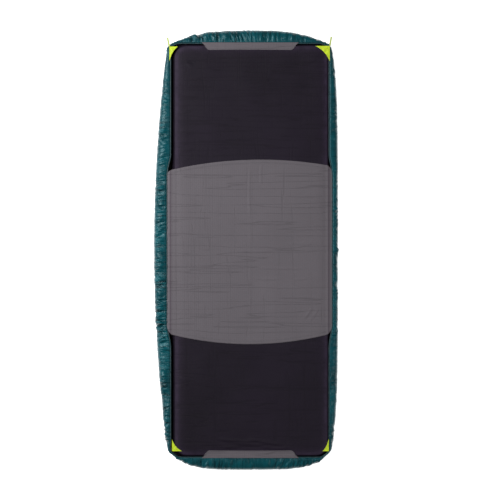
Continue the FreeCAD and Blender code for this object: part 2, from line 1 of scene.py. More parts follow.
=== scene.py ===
"""Soft goods and finishes of a sleeping pad in its fitted cover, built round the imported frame.

Everything is in metres in the frame's own axes: +Z up, +Y towards the head end, the floor at zero.
"""
import functools
import math

import bpy
import numpy as np
from bpy.props import FloatProperty, FloatVectorProperty, IntProperty, PointerProperty
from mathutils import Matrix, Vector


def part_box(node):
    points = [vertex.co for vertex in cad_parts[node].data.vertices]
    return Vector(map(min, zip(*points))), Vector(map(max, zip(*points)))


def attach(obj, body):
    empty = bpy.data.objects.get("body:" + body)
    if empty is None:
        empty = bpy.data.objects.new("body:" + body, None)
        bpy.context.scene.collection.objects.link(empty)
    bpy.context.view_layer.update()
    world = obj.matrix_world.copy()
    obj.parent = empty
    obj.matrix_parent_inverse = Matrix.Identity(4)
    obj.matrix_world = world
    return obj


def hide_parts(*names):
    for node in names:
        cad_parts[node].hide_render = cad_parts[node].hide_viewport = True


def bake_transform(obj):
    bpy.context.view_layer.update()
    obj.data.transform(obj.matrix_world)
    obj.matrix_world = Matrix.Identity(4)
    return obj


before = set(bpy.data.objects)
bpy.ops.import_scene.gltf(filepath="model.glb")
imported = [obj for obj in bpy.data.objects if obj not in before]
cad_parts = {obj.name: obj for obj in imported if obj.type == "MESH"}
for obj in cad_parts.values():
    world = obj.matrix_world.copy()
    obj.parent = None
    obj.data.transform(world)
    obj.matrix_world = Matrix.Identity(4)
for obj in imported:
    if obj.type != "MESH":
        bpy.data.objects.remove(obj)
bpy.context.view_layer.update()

bl_info = {
    "name": "Sleeping pad in a fitted cover",
    "version": (1, 0, 0),
    "blender": (4, 5, 0),
    "location": "3D View > Sidebar > Sleeping Pad",
    "description": "Makes the soft goods, stitching and finishes of a sleeping pad held in its fitted cover",
    "category": "Object",
}

ROOT = "pad_and_cover"

# ------------------------------------------------------------------ places taken from the frame

FACE_LOW, FACE_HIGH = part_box("pad_ground_skin")
WALL_LOW, WALL_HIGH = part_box("pad_side_wall")
SLEEVE_LOW, SLEEVE_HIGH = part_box("centre_sleeve")
HEAD_TAB_LOW, HEAD_TAB_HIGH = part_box("head_tab")
FOOT_TAB_LOW, FOOT_TAB_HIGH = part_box("foot_tab")
LINING_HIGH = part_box("cover_base_lining")[1].z
FACE_TOP = FACE_HIGH.z
PAD_FLOOR = WALL_LOW.z
FACE_MIDDLE = (FACE_LOW + FACE_HIGH) / 2
FACE_HALF = (FACE_HIGH - FACE_LOW) / 2
SIDE_BULGE = FACE_LOW.x - WALL_LOW.x
SKIRT_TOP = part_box("skirt_left")[1].z

FACE_CORNER = 0.052     # radius of the face's corners in plan
RING_ORDER = ("head", "right", "foot", "left")

# Plan of the cover. Each side bows out to its line, and its ends are pulled in towards the corners.
# hem is where the elastic edge runs, and under_sleeve how far the centre sleeve pushes that edge out.
SIDES = {
    "head": {"way": (0, 1), "line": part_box("skirt_head")[1].y, "middle": 0.018, "half": 0.380,
             "pull": 0.070, "power": 3.0, "hem": 0.985, "under_sleeve": 0.0},
    "right": {"way": (1, 0), "line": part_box("skirt_right")[1].x, "middle": 0.010, "half": 0.955,
              "pull": 0.030, "power": 6.0, "hem": 0.399, "under_sleeve": 0.0145},
    "foot": {"way": (0, -1), "line": -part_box("skirt_foot")[0].y, "middle": 0.018, "half": 0.380,
             "pull": 0.080, "power": 4.5, "hem": 0.988, "under_sleeve": 0.0},
    "left": {"way": (-1, 0), "line": -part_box("skirt_left")[0].x, "middle": 0.010, "half": 0.955,
             "pull": 0.062, "power": 2.0, "hem": 0.360, "under_sleeve": 0.0175},
}
# The folds' sizes: spacing along the hem, share of the height, cells across the skirt, and creased or round
FOLD_SIZES = ((0.055, 0.45, 1, False), (0.028, 0.60, 1, True), (0.017, 0.45, 2, True), (0.011, 0.25, 2, True))
END_SHARE = 0.975       # how much of a side's half length is cut before its corner begins
HEM_NARROW = 0.014      # least plan width of a skirt
CORNER_FULL = 0.005     # how far a corner stands out past the middle of its two sides' ends
SLEEVE_CLEAR = (0.368, 0.076)   # where the sleeve stops pushing the hem out, and over what run

# Skirt section from hem to floor: share of the skirt's plan width, inset beyond that, and height
SKIRT_SECTION = ((1.0, 0.0, 0.1160), (0.78, 0.0, 0.1172), (0.50, 0.0, 0.1162), (0.26, 0.0, 0.1118),
                 (0.10, 0.0, 0.1010), (0.03, 0.0, 0.0860), (0.0, 0.0, 0.0600), (0.0, 0.0015, 0.0320),
                 (0.0, 0.006, 0.0120), (0.0, 0.012, 0.0015))

# How full each skirt is cut: place along the side, extra cloth, and the lean of its folds in metres of
# run from the hem to the floor (positive leans with the ring, which runs head, right, foot, left)
GATHERS = {
    "head": ((-0.36, 0.05, 0.03), (-0.22, 0.15, 0.06), (-0.06, 0.16, 0.05), (0.06, 0.14, 0.03),
             (0.14, 0.06, 0.02), (0.22, 0.07, -0.02), (0.38, 0.05, -0.03)),
    "right": ((-0.95, 0.06, 0.0), (-0.60, 0.035, 0.02), (-0.20, 0.05, -0.02), (0.25, 0.045, 0.02),
              (0.60, 0.03, 0.0), (0.95, 0.05, 0.0)),
    "foot": ((-0.36, 0.06, -0.02), (-0.20, 0.10, -0.06), (-0.05, 0.07, -0.05), (0.12, 0.05, -0.03),
             (0.24, 0.11, -0.06), (0.38, 0.08, -0.04)),
    "left": ((-0.95, 0.20, 0.0), (-0.78, 0.22, 0.02), (-0.50, 0.20, -0.02), (-0.30, 0.24, 0.02),
             (-0.10, 0.16, -0.02), (0.06, 0.13, 0.0), (0.22, 0.14, 0.02), (0.40, 0.07, -0.01),
             (0.62, 0.12, 0.0), (0.78, 0.05, 0.01), (0.95, 0.05, 0.0)),
}

# Corner pockets: the sewn corner, the lengths of the legs along the end and along the side, and the way in
POCKETS = {
    "head_left": {"corner": (-0.363, 0.966), "legs": (0.041, 0.071), "inward": (1, -1)},
    "head_right": {"corner": (0.399, 0.969), "legs": (0.069, 0.074), "inward": (-1, -1)},
    "foot_left": {"corner": (-0.350, -0.955), "legs": (0.047, 0.055), "inward": (1, 1)},
    "foot_right": {"corner": (0.394, -0.955), "legs": (0.030, 0.060), "inward": (-1, 1)},
}
POCKET_WAIST = 0.8      # share of the way from the corner to the straight edge that the hollow reaches
POCKET_GRID = (33, 22)
TAB_GRID = (121, 15)

# Pull tabs: the way each points from its pocket's sewn corner
PULL_TABS = {"head_left": (-0.006, 0.029), "head_right": (0.009, 0.053)}
PULL_LENGTH = 0.046

# Stitches: pitch, length and thickness
HEM_STITCH = (0.0046, 0.0009)     # its pitch is a setting of the cover
PANEL_STITCH = (0.0050, 0.0036, 0.0007)
POCKET_STITCH = (0.0045, 0.0032, 0.0006)

# Creases pinched in a face: from, to, rise and half width
PAD_CREASES = (
    ((-0.150, -0.896), (0.070, -0.908), 0.0036, 0.005),
    ((-0.080, -0.914), (0.110, -0.922), 0.0034, 0.005),
    ((0.000, -0.893), (0.190, -0.925), 0.0040, 0.005),
    ((0.060, -0.934), (0.215, -0.939), 0.0026, 0.005),
    ((-0.120, -0.935), (-0.010, -0.930), 0.0022, 0.005),
    ((-0.318, -0.600), (-0.270, -0.640), 0.0016, 0.006),
    ((-0.322, 0.560), (-0.265, 0.548), 0.0016, 0.006),
    ((-0.320, 0.470), (-0.250, 0.480), 0.0014, 0.006),
    ((0.250, 0.880), (0.340, 0.905), 0.0016, 0.006),
    ((-0.290, 0.900), (-0.250, 0.870), 0.0014, 0.006),
)
SLEEVE_CREASES = (
    ((-0.330, 0.266), (-0.215, 0.262), 0.0014, 0.004),
    ((0.018, 0.400), (0.019, 0.150), 0.0014, 0.004),
    ((0.075, 0.420), (0.074, 0.300), 0.0012, 0.004),
    ((0.005, 0.136), (0.150, 0.132), 0.0018, 0.004),
    ((-0.060, 0.000), (0.130, -0.006), 0.0020, 0.004),
    ((0.195, 0.034), (0.330, 0.030), 0.0020, 0.004),
    ((-0.190, -0.066), (-0.020, -0.070), 0.0012, 0.004),
    ((0.040, -0.082), (0.300, -0.086), 0.0018, 0.004),
    ((0.020, -0.132), (0.180, -0.136), 0.0016, 0.004),
    ((0.225, -0.136), (0.300, -0.134), 0.0016, 0.004),
    ((0.250, -0.222), (0.380, -0.226), 0.0014, 0.004),
    ((0.270, -0.330), (0.318, -0.268), 0.0018, 0.004),
    ((0.300, -0.342), (0.345, -0.272), 0.0014, 0.004),
    ((0.200, 0.200), (0.330, 0.206), 0.0012, 0.004),
    ((0.180, 0.092), (0.300, 0.096), 0.0012, 0.004),
)


# ------------------------------------------------------------------ settings

class PadSizes(bpy.types.PropertyGroup):
    """Sizes of the inflated pad"""
    crown: FloatProperty(name="Crown", description="Rise of the face in its middle", default=0.0020,
                         unit="LENGTH")
    shoulder: FloatProperty(name="Shoulder", description="Rise of the face from its seam", default=0.0042,
                            unit="LENGTH")
    shoulder_width: FloatProperty(name="Shoulder width", description="Width of the rise along the seam",
                                  default=0.050, unit="LENGTH")
    pucker: FloatProperty(name="Seam pucker", description="Depth of the puckers along the seam", default=0.0013,
                          unit="LENGTH")
    cell: FloatProperty(name="Mesh cell", description="Size of a mesh cell on the face", default=0.0055,
                        unit="LENGTH")


class CoverSizes(bpy.types.PropertyGroup):
    """Sizes of the cover's cloth, hems and stitches"""
    cloth: FloatProperty(name="Cloth", description="Thickness of the skirt cloth", default=0.0012,
                         unit="LENGTH")
    fold: FloatProperty(name="Fold height", description="Height of the folds before the cloth settles",
                        default=0.0075, unit="LENGTH")
    reach: FloatProperty(name="Furthest fold", description="How far settling may move the cloth",
                         default=0.0100, unit="LENGTH")
    columns: IntProperty(name="Columns", description="Mesh columns round the skirts", default=2200)
    rows: IntProperty(name="Rows", description="Mesh rows from hem to floor", default=36)
    frames: IntProperty(name="Settling steps", description="Steps of the cloth simulation", default=20)
    casing: FloatProperty(name="Hem casing", description="Radius of the rolled hem", default=0.0029,
                          unit="LENGTH")
    panel: FloatProperty(name="Panel", description="Thickness of the stretch panels", default=0.0011,
                         unit="LENGTH")
    stitch: FloatProperty(name="Stitch pitch", description="Distance between stitches", default=0.0065,
                          unit="LENGTH")


class Colours(bpy.types.PropertyGroup):
    """Colours of the fabrics"""
    nylon_dark: FloatVectorProperty(name="Skirt shade", description="Skirt nylon, darker patches",
                                    subtype="COLOR", size=3, default=(0.0003, 0.0290, 0.0380))
    nylon_light: FloatVectorProperty(name="Skirt", description="Skirt nylon, lighter patches", subtype="COLOR",
                                     size=3, default=(0.0008, 0.0640, 0.0800))
    face: FloatVectorProperty(name="Pad face", description="Ground face of the pad", subtype="COLOR", size=3,
                              default=(0.0090, 0.0060, 0.0122))
    grey: FloatVectorProperty(name="Stretch panels", description="Centre sleeve and end tabs", subtype="COLOR",
                              size=3, default=(0.099, 0.088, 0.100))
    lime: FloatVectorProperty(name="Corner pockets", description="Stretch corner pockets and pull tabs",
                              subtype="COLOR", size=3, default=(0.50, 0.64, 0.012))
    thread: FloatVectorProperty(name="Thread", description="Stitching thread", subtype="COLOR", size=3,
                                default=(0.030, 0.070, 0.080))


class StageSizes(bpy.types.PropertyGroup):
    """Camera and lights"""
    height: FloatProperty(name="Camera height", description="Camera above the floor", default=7.37,
                          unit="LENGTH")
    lens: FloatProperty(name="Lens", description="Focal length in millimetres", default=110.0)
    key: FloatProperty(name="Key light", description="Power of the large soft light", default=215.0,
                       subtype="POWER")
    sky: FloatProperty(name="Surround", description="Brightness of the white surround", default=0.24)


def settings(group):
    """The scene's own values of one group of settings."""
    return getattr(bpy.context.scene, "sleeping_pad_" + group)


# ------------------------------------------------------------------ shared shapes

def patchwork(rng, shape, cells):
    """Smooth random heights from -1 to 1 over a grid, with that many cells each way."""
    field = rng.uniform(-1.0, 1.0, (cells[0] + 1, cells[1] + 1))
    for axis in (0, 1):
        place = np.linspace(0.0, cells[axis], shape[axis])
        low = np.minimum(place.astype(int), cells[axis] - 1)
        share = place - low
        share = share * share * (3.0 - 2.0 * share)
        share = share[:, None] if axis == 0 else share[None, :]
        field = np.take(field, low, axis) * (1.0 - share) + np.take(field, low + 1, axis) * share
    return field


def smooth_step(value):
    value = np.clip(value, 0.0, 1.0)
    return value * value * (3.0 - 2.0 * value)


def seam_distance(x, y):
    """How far inside the pad's face seam a point is; negative outside it."""
    over_x = np.abs(x - FACE_MIDDLE.x) - (FACE_HALF.x - FACE_CORNER)
    over_y = np.abs(y - FACE_MIDDLE.y) - (FACE_HALF.y - FACE_CORNER)
    outside = np.hypot(np.maximum(over_x, 0.0), np.maximum(over_y, 0.0))
    inside = np.minimum(np.maximum(over_x, over_y), 0.0)
    return FACE_CORNER - outside - inside


# Slow swells of the inflated face: waves per metre along x and y, phase and height
SWELLS = ((3.1, 1.3, 0.4, 0.00035), (-2.2, 2.6, 1.9, 0.00030), (5.3, 0.7, 4.2, 0.00022),
          (0.9, 4.7, 2.6, 0.00025), (7.9, 3.2, 5.1, 0.00014), (-6.4, 5.9, 0.8, 0.00012))


def face_height(x, y):
    """Height of the inflated pad's face, without its seam puckers and creases."""
    sizes = settings("pad")
    across = np.clip(np.abs(x - FACE_MIDDLE.x) / FACE_HALF.x, 0.0, 1.0)
    along = np.clip(np.abs(y - FACE_MIDDLE.y) / FACE_HALF.y, 0.0, 1.0)
    inside = np.clip(seam_distance(x, y) / sizes.shoulder_width, 0.0, 1.0)
    raised = 1.0 - (1.0 - inside) ** 2.2
    height = FACE_TOP + sizes.crown * (1.0 - across ** 4) * (1.0 - along ** 8) + sizes.shoulder * raised
    for wave_x, wave_y, phase, rise in SWELLS:
        height = height + raised * rise * np.sin(2.0 * math.pi * (wave_x * x + wave_y * y) + phase)
    return height


def crease_relief(x, y, creases):
    """Relief of a list of creases: a narrow pinched ridge with a shallow valley on its lower side."""
    relief = np.zeros_like(x)
    for (start_x, start_y), (end_x, end_y), rise, half_width in creases:
        run_x, run_y = end_x - start_x, end_y - start_y
        length = math.hypot(run_x, run_y)
        along = ((x - start_x) * run_x + (y - start_y) * run_y) / length ** 2
        bow = 0.004 * np.sin(math.pi * np.clip(along, 0.0, 1.0))
        aside = ((y - start_y) * run_x - (x - start_x) * run_y) / length + bow
        fade = smooth_step(along / 0.25) * smooth_step((1.0 - along) / 0.25)
        ridge = np.exp(-(np.abs(aside) / half_width) ** 1.4)
        valley = np.exp(-((aside + 1.9 * half_width) / half_width) ** 2)
        relief += rise * fade * (ridge - 0.35 * valley)
    return relief


def side_cut(name, share):
    """Where a side of the cover is cut across: outermost point, way out and plan width to the hem."""
    side = SIDES[name]
    way = np.array(side["way"], float)
    run = np.abs(way[::-1])
    along = side["middle"] + share * side["half"]
    out = side["line"] - side["pull"] * abs(share) ** side["power"]
    start, fade = SLEEVE_CLEAR
    hem = side["hem"] + side["under_sleeve"] * min(max(1.0 - (abs(along) - start) / fade, 0.0), 1.0)
    return run * along + way * out, way, max(out - hem, HEM_NARROW)


def corner_cut(first, first_share, second, second_share):
    """The mitre half way round a corner of the cover."""
    point_a, way_a, _ = side_cut(first, first_share)
    point_b, way_b, _ = side_cut(second, second_share)
    way = (way_a + way_b) / np.linalg.norm(way_a + way_b)
    return (point_a + point_b) / 2.0 + way * CORNER_FULL, way, HEM_NARROW


def ring_smooth(values, reach):
    """Even out a closed run of points over that many neighbours."""
    count = len(values)
    gap = np.arange(count)
    gap = np.minimum(gap, count - gap)
    weight = np.exp(-0.5 * (gap / reach) ** 2)
    weight /= weight.sum()
    return np.real(np.fft.ifft(np.fft.fft(values, axis=0) * np.fft.fft(weight)[:, None], axis=0))


@functools.lru_cache(maxsize=None)
def cover_ring(columns):
    """The cover's plan as a ring of columns that starts and ends at the head left corner.

    Returns the outer line, the hem line, each column's distance round the ring, its extra cloth and the
    lean of its folds, and the column at which each corner lies."""
    shares = np.linspace(-END_SHARE, END_SHARE, 61)
    directions = (1, -1, -1, 1)
    mitres = (("left", 1, "head", -1), ("head", 1, "right", 1),
              ("right", -1, "foot", 1), ("foot", -1, "left", -1))
    cuts, gathers, corners = [], [], []
    for side, direction, mitre in zip(RING_ORDER, directions, mitres):
        corners.append(len(cuts))
        cuts.append(corner_cut(*mitre))
        gathers.append((0.05, 0.0))
        table = np.array(GATHERS[side])
        for share in shares[::direction]:
            cuts.append(side_cut(side, share))
            along = SIDES[side]["middle"] + share * SIDES[side]["half"]
            gathers.append([np.interp(along, table[:, 0], table[:, k]) for k in (1, 2)])
    outer = np.array([point for point, _, _ in cuts])
    hem = np.array([point - way * width for point, way, width in cuts])
    rows = np.hstack([outer, hem, np.array(gathers)])
    rows = np.vstack([rows, rows[:1]])
    middle = (rows[:, 0:2] + rows[:, 2:4]) / 2.0
    distance = np.concatenate([[0.0], np.cumsum(np.linalg.norm(np.diff(middle, axis=0), axis=1))])
    total = distance[-1]
    places = np.linspace(0.0, total, columns + 1)
    even = np.stack([np.interp(places[:-1], distance, rows[:, k]) for k in range(6)], axis=1)
    # the outer line, the hem line and the gathers are each evened out over their own reach
    even = np.hstack([ring_smooth(even[:, first:first + 2], reach)
                      for first, reach in ((0, 3.5), (2, 2.0), (4, 9.0))])
    even = np.vstack([even, even[:1]])
    marks = [int(round(distance[index] / total * columns)) for index in corners] + [columns]
    return even[:, 0:2], even[:, 2:4], places, even[:, 4], even[:, 5], marks


def ring_parts(marks):
    """Each side of the ring with the columns that it covers, both of its corners among them."""
    return [(side, slice(start, stop + 1)) for side, start, stop in zip(RING_ORDER, marks[:-1], marks[1:])]


def fold_field(columns, rows):
    """Heights from -1 to 1 of the gathered folds: creased ridges across the skirt, leaning and uneven."""
    _, _, places, fullness, lean, _ = cover_ring(columns)
    rng = np.random.default_rng(43)
    total = places[-1]
    field = np.zeros((columns + 1, rows))
    depth = np.linspace(0.0, 1.0, rows)
    for pitch, share, cells_across, creased in FOLD_SIZES:
        wave = patchwork(rng, (columns + 1, 3 * rows), (int(total / pitch), 3 * cells_across))
        if creased:
            wave = 0.7 - 2.2 * np.abs(wave)
        sway = patchwork(rng, (columns + 1, rows), (int(total / 0.06), 2)) * 0.9 * pitch
        slide = (patchwork(rng, (columns + 1, 2), (int(total / (1.7 * pitch)), 1))[:, 0] + 1.0) * (rows - 1.0)
        slid = np.array([np.interp(depth * (rows - 1.0) + slide[column], np.arange(3 * rows), wave[column])
                         for column in range(columns + 1)])
        for row in range(rows):
            shifted = places + lean * depth[row] + sway[:, row]
            field[:, row] += share * np.interp(shifted, places, slid[:, row], period=total)
    patches = patchwork(rng, (columns + 1, 2), (int(total / 0.060), 1))[:, :1]
    return field * (0.85 + 0.60 * patches) * np.clip(0.35 + 0.65 * fullness / 0.12, 0.5, 1.6)[:, None]


@functools.lru_cache(maxsize=None)
def skirt_form(columns, rows, fold):
    """Points of the skirts before they settle: the plain bowed form, and the same with its folds."""
    outer, hem, _, _, _, _ = cover_ring(columns)
    width = np.linalg.norm(outer - hem, axis=1)
    way = (outer - hem) / width[:, None]
    share, inset, height = np.array(SKIRT_SECTION).T
    inward = share[None, :] * width[:, None] + inset[None, :]
    steps = np.hypot(np.diff(inward, axis=1), np.diff(height)[None, :])
    run = np.concatenate([np.zeros((columns + 1, 1)), np.cumsum(steps, axis=1)], axis=1)
    plain = np.zeros((columns + 1, rows, 3))
    for column in range(columns + 1):
        places = np.linspace(0.0, run[column, -1], rows)
        from_outer = np.interp(places, run[column], inward[column])
        plain[column, :, :2] = outer[column] - way[column] * from_outer[:, None]
        plain[column, :, 2] = np.interp(places, run[column], height)
    for _ in range(3):
        plain[:, 1:-1] = (plain[:, 1:-1] * 2.0 + plain[:, :-2] + plain[:, 2:]) / 4.0
    normal = np.cross(np.gradient(plain, axis=0), np.gradient(plain, axis=1))
    normal /= np.linalg.norm(normal, axis=2, keepdims=True)
    if np.median(normal[:, rows // 4, 2]) < 0.0:
        normal = -normal
    across = np.linspace(0.0, 1.0, rows)
    hold = (0.30 + 0.70 * smooth_step(across / 0.14)) * smooth_step((1.0 - across) / 0.22)
    # the folds are highest over the shoulder of the skirt and fade down its side
    hold = hold * (0.22 + 0.78 * np.exp(-((across - 0.17) / 0.17) ** 2))
    folded = plain + normal * (fold_field(columns, rows) * hold[None, :] * fold)[:, :, None]
    folded[-1] = folded[0]
    return plain, folded, normal


# ------------------------------------------------------------------ meshes

def mesh_object(name, vertices, faces, material=None, corner_uv=None):
    """A smooth mesh object at the origin; corner_uv gives a UV place for each vertex."""
    mesh = bpy.data.meshes.new(name)
    mesh.from_pydata(np.asarray(vertices).tolist(), [], [list(face) for face in faces])
    mesh.polygons.foreach_set("use_smooth", [True] * len(mesh.polygons))
    if corner_uv is not None:
        layer = mesh.uv_layers.new(name="cloth")
        index = np.zeros(len(mesh.loops), np.int32)
        mesh.loops.foreach_get("vertex_index", index)
        layer.data.foreach_set("uv", np.asarray(corner_uv, np.float32)[index].ravel())
    mesh.validate()
    piece = bpy.data.objects.new(name, mesh)
    bpy.context.scene.collection.objects.link(piece)
    if material is not None:
        mesh.materials.append(material)
    return piece


def grid_faces(columns, rows, turned=False):
    """Quads of a grid of columns by rows vertices, numbered row by row within each column."""
    index = np.arange(columns * rows).reshape(columns, rows)
    quads = np.stack([index[:-1, :-1], index[1:, :-1], index[1:, 1:], index[:-1, 1:]], axis=-1).reshape(-1, 4)
    return quads[:, ::-1] if turned else quads


def grid_object(name, points, material, uv=None, turned=False):
    columns, rows = points.shape[:2]
    places = None if uv is None else uv.reshape(-1, 2)
    return mesh_object(name, points.reshape(-1, 3), grid_faces(columns, rows, turned), material, places)


def cloth_places(points):
    """UV places in metres, measured along and across a grid of points."""
    along = np.linalg.norm(np.diff(points, axis=0), axis=2).mean(axis=1)
    across = np.linalg.norm(np.diff(points, axis=1), axis=2)
    places = np.zeros(points.shape[:2] + (2,))
    places[1:, :, 0] = np.cumsum(along)[:, None]
    places[:, 1:, 1] = np.cumsum(across, axis=1)
    return places


def thicken(piece, thickness, offset=-1.0):
    """Give a sheet its thickness, inwards from the side that shows unless offset says otherwise."""
    solid = piece.modifiers.new("thickness", "SOLIDIFY")
    solid.thickness = thickness
    solid.offset = offset
    solid.use_rim = True


def settle(piece, body, slot, *nodes):
    """Ride a finished piece on its body, in place of the CAD nodes that it stands for."""
    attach(piece, body)
    if nodes:
        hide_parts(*nodes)


def settle_across(piece, body, slot, start, end, *nodes):
    """Bake a finished piece's place into its mesh, in place of the CAD nodes that it stands for."""
    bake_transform(piece)
    if nodes:
        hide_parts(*nodes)


def tube_points(line, inward, radius, sides):
    """Rings of points round a line; inward is the plan direction that each ring faces."""
    angle = np.linspace(0.0, 2.0 * math.pi, sides, endpoint=False)
    radius = np.broadcast_to(radius, (len(line),))
    rings = np.zeros((len(line), sides, 3))
    sideways = np.cos(angle)[None, :] * radius[:, None]
    rings[:, :, :2] = line[:, None, :2] + inward[:, None, :] * sideways[:, :, None]
    rings[:, :, 2] = line[:, None, 2] + np.sin(angle)[None, :] * radius[:, None]
    return rings


def tube_object(name, rings, material):
    """A closed tube through rings of points, with its two ends capped."""
    columns, sides = rings.shape[:2]
    index = np.arange(columns * sides).reshape(columns, sides)
    index = np.hstack([index, index[:, :1]])
    quads = np.stack([index[:-1, :-1], index[:-1, 1:], index[1:, 1:], index[1:, :-1]], axis=-1).reshape(-1, 4)
    faces = [list(quad) for quad in quads]
    faces += [list(index[0, :-1][::-1]), list(index[-1, :-1])]
    uv = cloth_places(rings)
    piece = mesh_object(name, rings.reshape(-1, 3), faces, material, uv.reshape(-1, 2))
    face_outwards(piece)
    return piece


def mark_points(piece, name, values):
    """Keep a value for each vertex, for the piece's finish to read."""
    layer = piece.data.attributes.new(name, "FLOAT", "POINT")
    layer.data.foreach_set("value", np.asarray(values, np.float32).ravel())


def face_outwards(piece):
    """Turn a closed piece's faces the right way out, if its volume says that they point in."""
    mesh = piece.data
    mesh.calc_loop_triangles()
    points = np.zeros(len(mesh.vertices) * 3)
    mesh.vertices.foreach_get("co", points)
    points = points.reshape(-1, 3)
    corners = np.zeros(len(mesh.loop_triangles) * 3, np.int32)
    mesh.loop_triangles.foreach_get("vertices", corners)
    corners = points[corners.reshape(-1, 3)]
    volume = np.einsum("ij,ij->i", corners[:, 0], np.cross(corners[:, 1], corners[:, 2])).sum()
    if volume < 0.0:
        mesh.flip_normals()


# ------------------------------------------------------------------ finishes

class Recipe:
    """A procedural finish under construction: one principled shader and the nodes that feed it."""

    def __init__(self, name, roughness, **uniform):
        self.material = bpy.data.materials.new(name)
        self.material.use_nodes = True
        self.tree = self.material.node_tree
        self.shader = self.tree.nodes["Principled BSDF"]
        self.shader.inputs["Roughness"].default_value = roughness
        for socket, value in uniform.items():
            self.shader.inputs[socket.replace("_", " ")].default_value = value
        self.places = self.tree.nodes.new("ShaderNodeTexCoord")
        self.relief = None

    def node(self, kind, options=None, **inputs):
        """Add a node; inputs are values, or sockets of other nodes to link."""
        made = self.tree.nodes.new("ShaderNode" + kind)
        for key, value in (options or {}).items():
            setattr(made, key, value)
        for key, value in inputs.items():
            socket = made.inputs[int(key[1:])] if key[0] == "_" else made.inputs[key.replace("_", " ")]
            if isinstance(value, bpy.types.NodeSocket):
                self.tree.links.new(value, socket)
            else:
                socket.default_value = value
        return made

    def scaled(self, scale, turn=0.0, coordinates="Object"):
        mapping = self.node("Mapping", Vector=self.places.outputs[coordinates], Scale=scale,
                            Rotation=(0.0, 0.0, turn))
        return mapping.outputs[0]

    def noise(self, scale, detail=2.0, vector=None):
        places = self.places.outputs["Object"] if vector is None else vector
        return self.node("TexNoise", Vector=places, Scale=scale, Detail=detail, Roughness=0.55).outputs[0]

    def attribute(self, name):
        return self.node("Attribute", {"attribute_name": name}).outputs["Fac"]

    def hairlines(self, scale, width, turn=0.0):
        """Long thin wandering lines: 1 on a line, 0 elsewhere."""
        level = self.noise(1.0, 2.0, self.scaled(scale, turn))
        away = self.node("Math", {"operation": "ABSOLUTE"}, _0=self.sum(level, 0.5, "SUBTRACT")).outputs[0]
        return self.ranged(away, 1.0, 0.0, 0.0, width)

    def bands(self, pitch, direction, vector=None, waver=0.0):
        """Even bands of that pitch in metres along X, Y or Z."""
        places = self.places.outputs["Object"] if vector is None else vector
        wave = self.node("TexWave", {"bands_direction": direction}, Vector=places, Scale=math.pi / 10.0 / pitch,
                         Distortion=waver, Detail_Scale=1.0)
        return wave.outputs["Fac"]

    def ranged(self, value, low, high, from_low=0.3, from_high=0.7):
        return self.node("MapRange", Value=value, From_Min=from_low, From_Max=from_high, To_Min=low,
                         To_Max=high).outputs[0]

    def sum(self, first, second, operation="ADD"):
        return self.node("Math", {"operation": operation}, _0=first, _1=second).outputs[0]

    def mixed(self, factor, first, second):
        made = self.tree.nodes.new("ShaderNodeMix")
        made.data_type = "RGBA"
        for key, value in (("Factor_Float", factor), ("A_Color", first), ("B_Color", second)):
            socket = [item for item in made.inputs if item.identifier == key][0]
            if isinstance(value, bpy.types.NodeSocket):
                self.tree.links.new(value, socket)
            else:
                socket.default_value = value
        return [item for item in made.outputs if item.identifier == "Result_Color"][0]

    def colour(self, socket):
        self.tree.links.new(socket, self.shader.inputs["Base Color"])

    def roughness(self, socket):
        self.tree.links.new(socket, self.shader.inputs["Roughness"])

    def bump(self, height, strength, distance):
        made = self.node("Bump", Height=height, Strength=strength, Distance=distance)
        if self.relief is not None:
            self.tree.links.new(self.relief, made.inputs["Normal"])
        self.relief = made.outputs[0]
        self.tree.links.new(self.relief, self.shader.inputs["Normal"])


def shade(colour, factor):
    return tuple(min(channel * factor, 1.0) for channel in colour[:3]) + (1.0,)


def woven(recipe, thread, strength, coordinates="Object"):
    """Plain weave in the bump: warp and weft bands multiplied into little cushions."""
    places = recipe.places.outputs[coordinates]
    warp = recipe.bands(thread, "X", places)
    weft = recipe.bands(thread, "Y", places)
    recipe.bump(recipe.sum(warp, weft, "MULTIPLY"), strength, thread * 0.35)


@functools.lru_cache(maxsize=None)
def skirt_nylon():
    """Thin coated nylon: cool gloss, tight crinkles across the band with painted highlights on their ridges and
    painted shade in their valleys, and a ripstop grid.
    """
    colours = settings("colours")
    recipe = Recipe("skirt_nylon", 0.30, Specular_IOR_Level=0.28, Specular_Tint=(0.62, 0.95, 1.0, 1.0))
    worn = recipe.ranged(recipe.noise(9.0, 3.0), 0.0, 1.0)
    tint = recipe.mixed(worn, shade(colours.nylon_dark, 1.0), shade(colours.nylon_light, 1.0))
    streaks = recipe.noise(1.0, 4.0, recipe.scaled((90.0, 14.0, 1.0), 0.0, "UV"))
    patch = recipe.noise(1.0, 2.0, recipe.scaled((11.0, 5.0, 1.0), 0.0, "UV"))
    patch = recipe.ranged(patch, 0.35, 1.40, 0.35, 0.62)
    lively = recipe.sum(patch, recipe.ranged(recipe.attribute("gather"), 0.35, 1.0, 0.2, 1.0), "MULTIPLY")
    streaks = recipe.sum(recipe.sum(recipe.sum(streaks, 0.5, "SUBTRACT"), lively, "MULTIPLY"), 0.5)
    # Painted highlight on the crinkles' ridges and painted shade in their valleys, from the same streaks that
    # the bump raises; fuller gathers make both stronger
    tint = recipe.mixed(recipe.ranged(streaks, 0.0, 0.7, 0.52, 0.78), tint, shade(colours.nylon_light, 1.6))
    tint = recipe.mixed(recipe.ranged(streaks, 0.9, 0.0, 0.30, 0.50), tint, shade(colours.nylon_dark, 0.25))
    recipe.colour(tint)
    recipe.roughness(recipe.ranged(streaks, 0.22, 0.36))
    recipe.bump(streaks, 0.90, 0.0070)
    fine = recipe.noise(1.0, 3.0, recipe.scaled((240.0, 60.0, 1.0), 0.35, "UV"))
    recipe.bump(fine, 0.50, 0.0016)
    ripstop = recipe.sum(recipe.bands(0.006, "X", recipe.places.outputs["UV"]),
                         recipe.bands(0.006, "Y", recipe.places.outputs["UV"]), "MAXIMUM")
    recipe.bump(recipe.ranged(ripstop, 0.0, 1.0, 0.92, 1.0), 0.12, 0.0003)
    return recipe.material


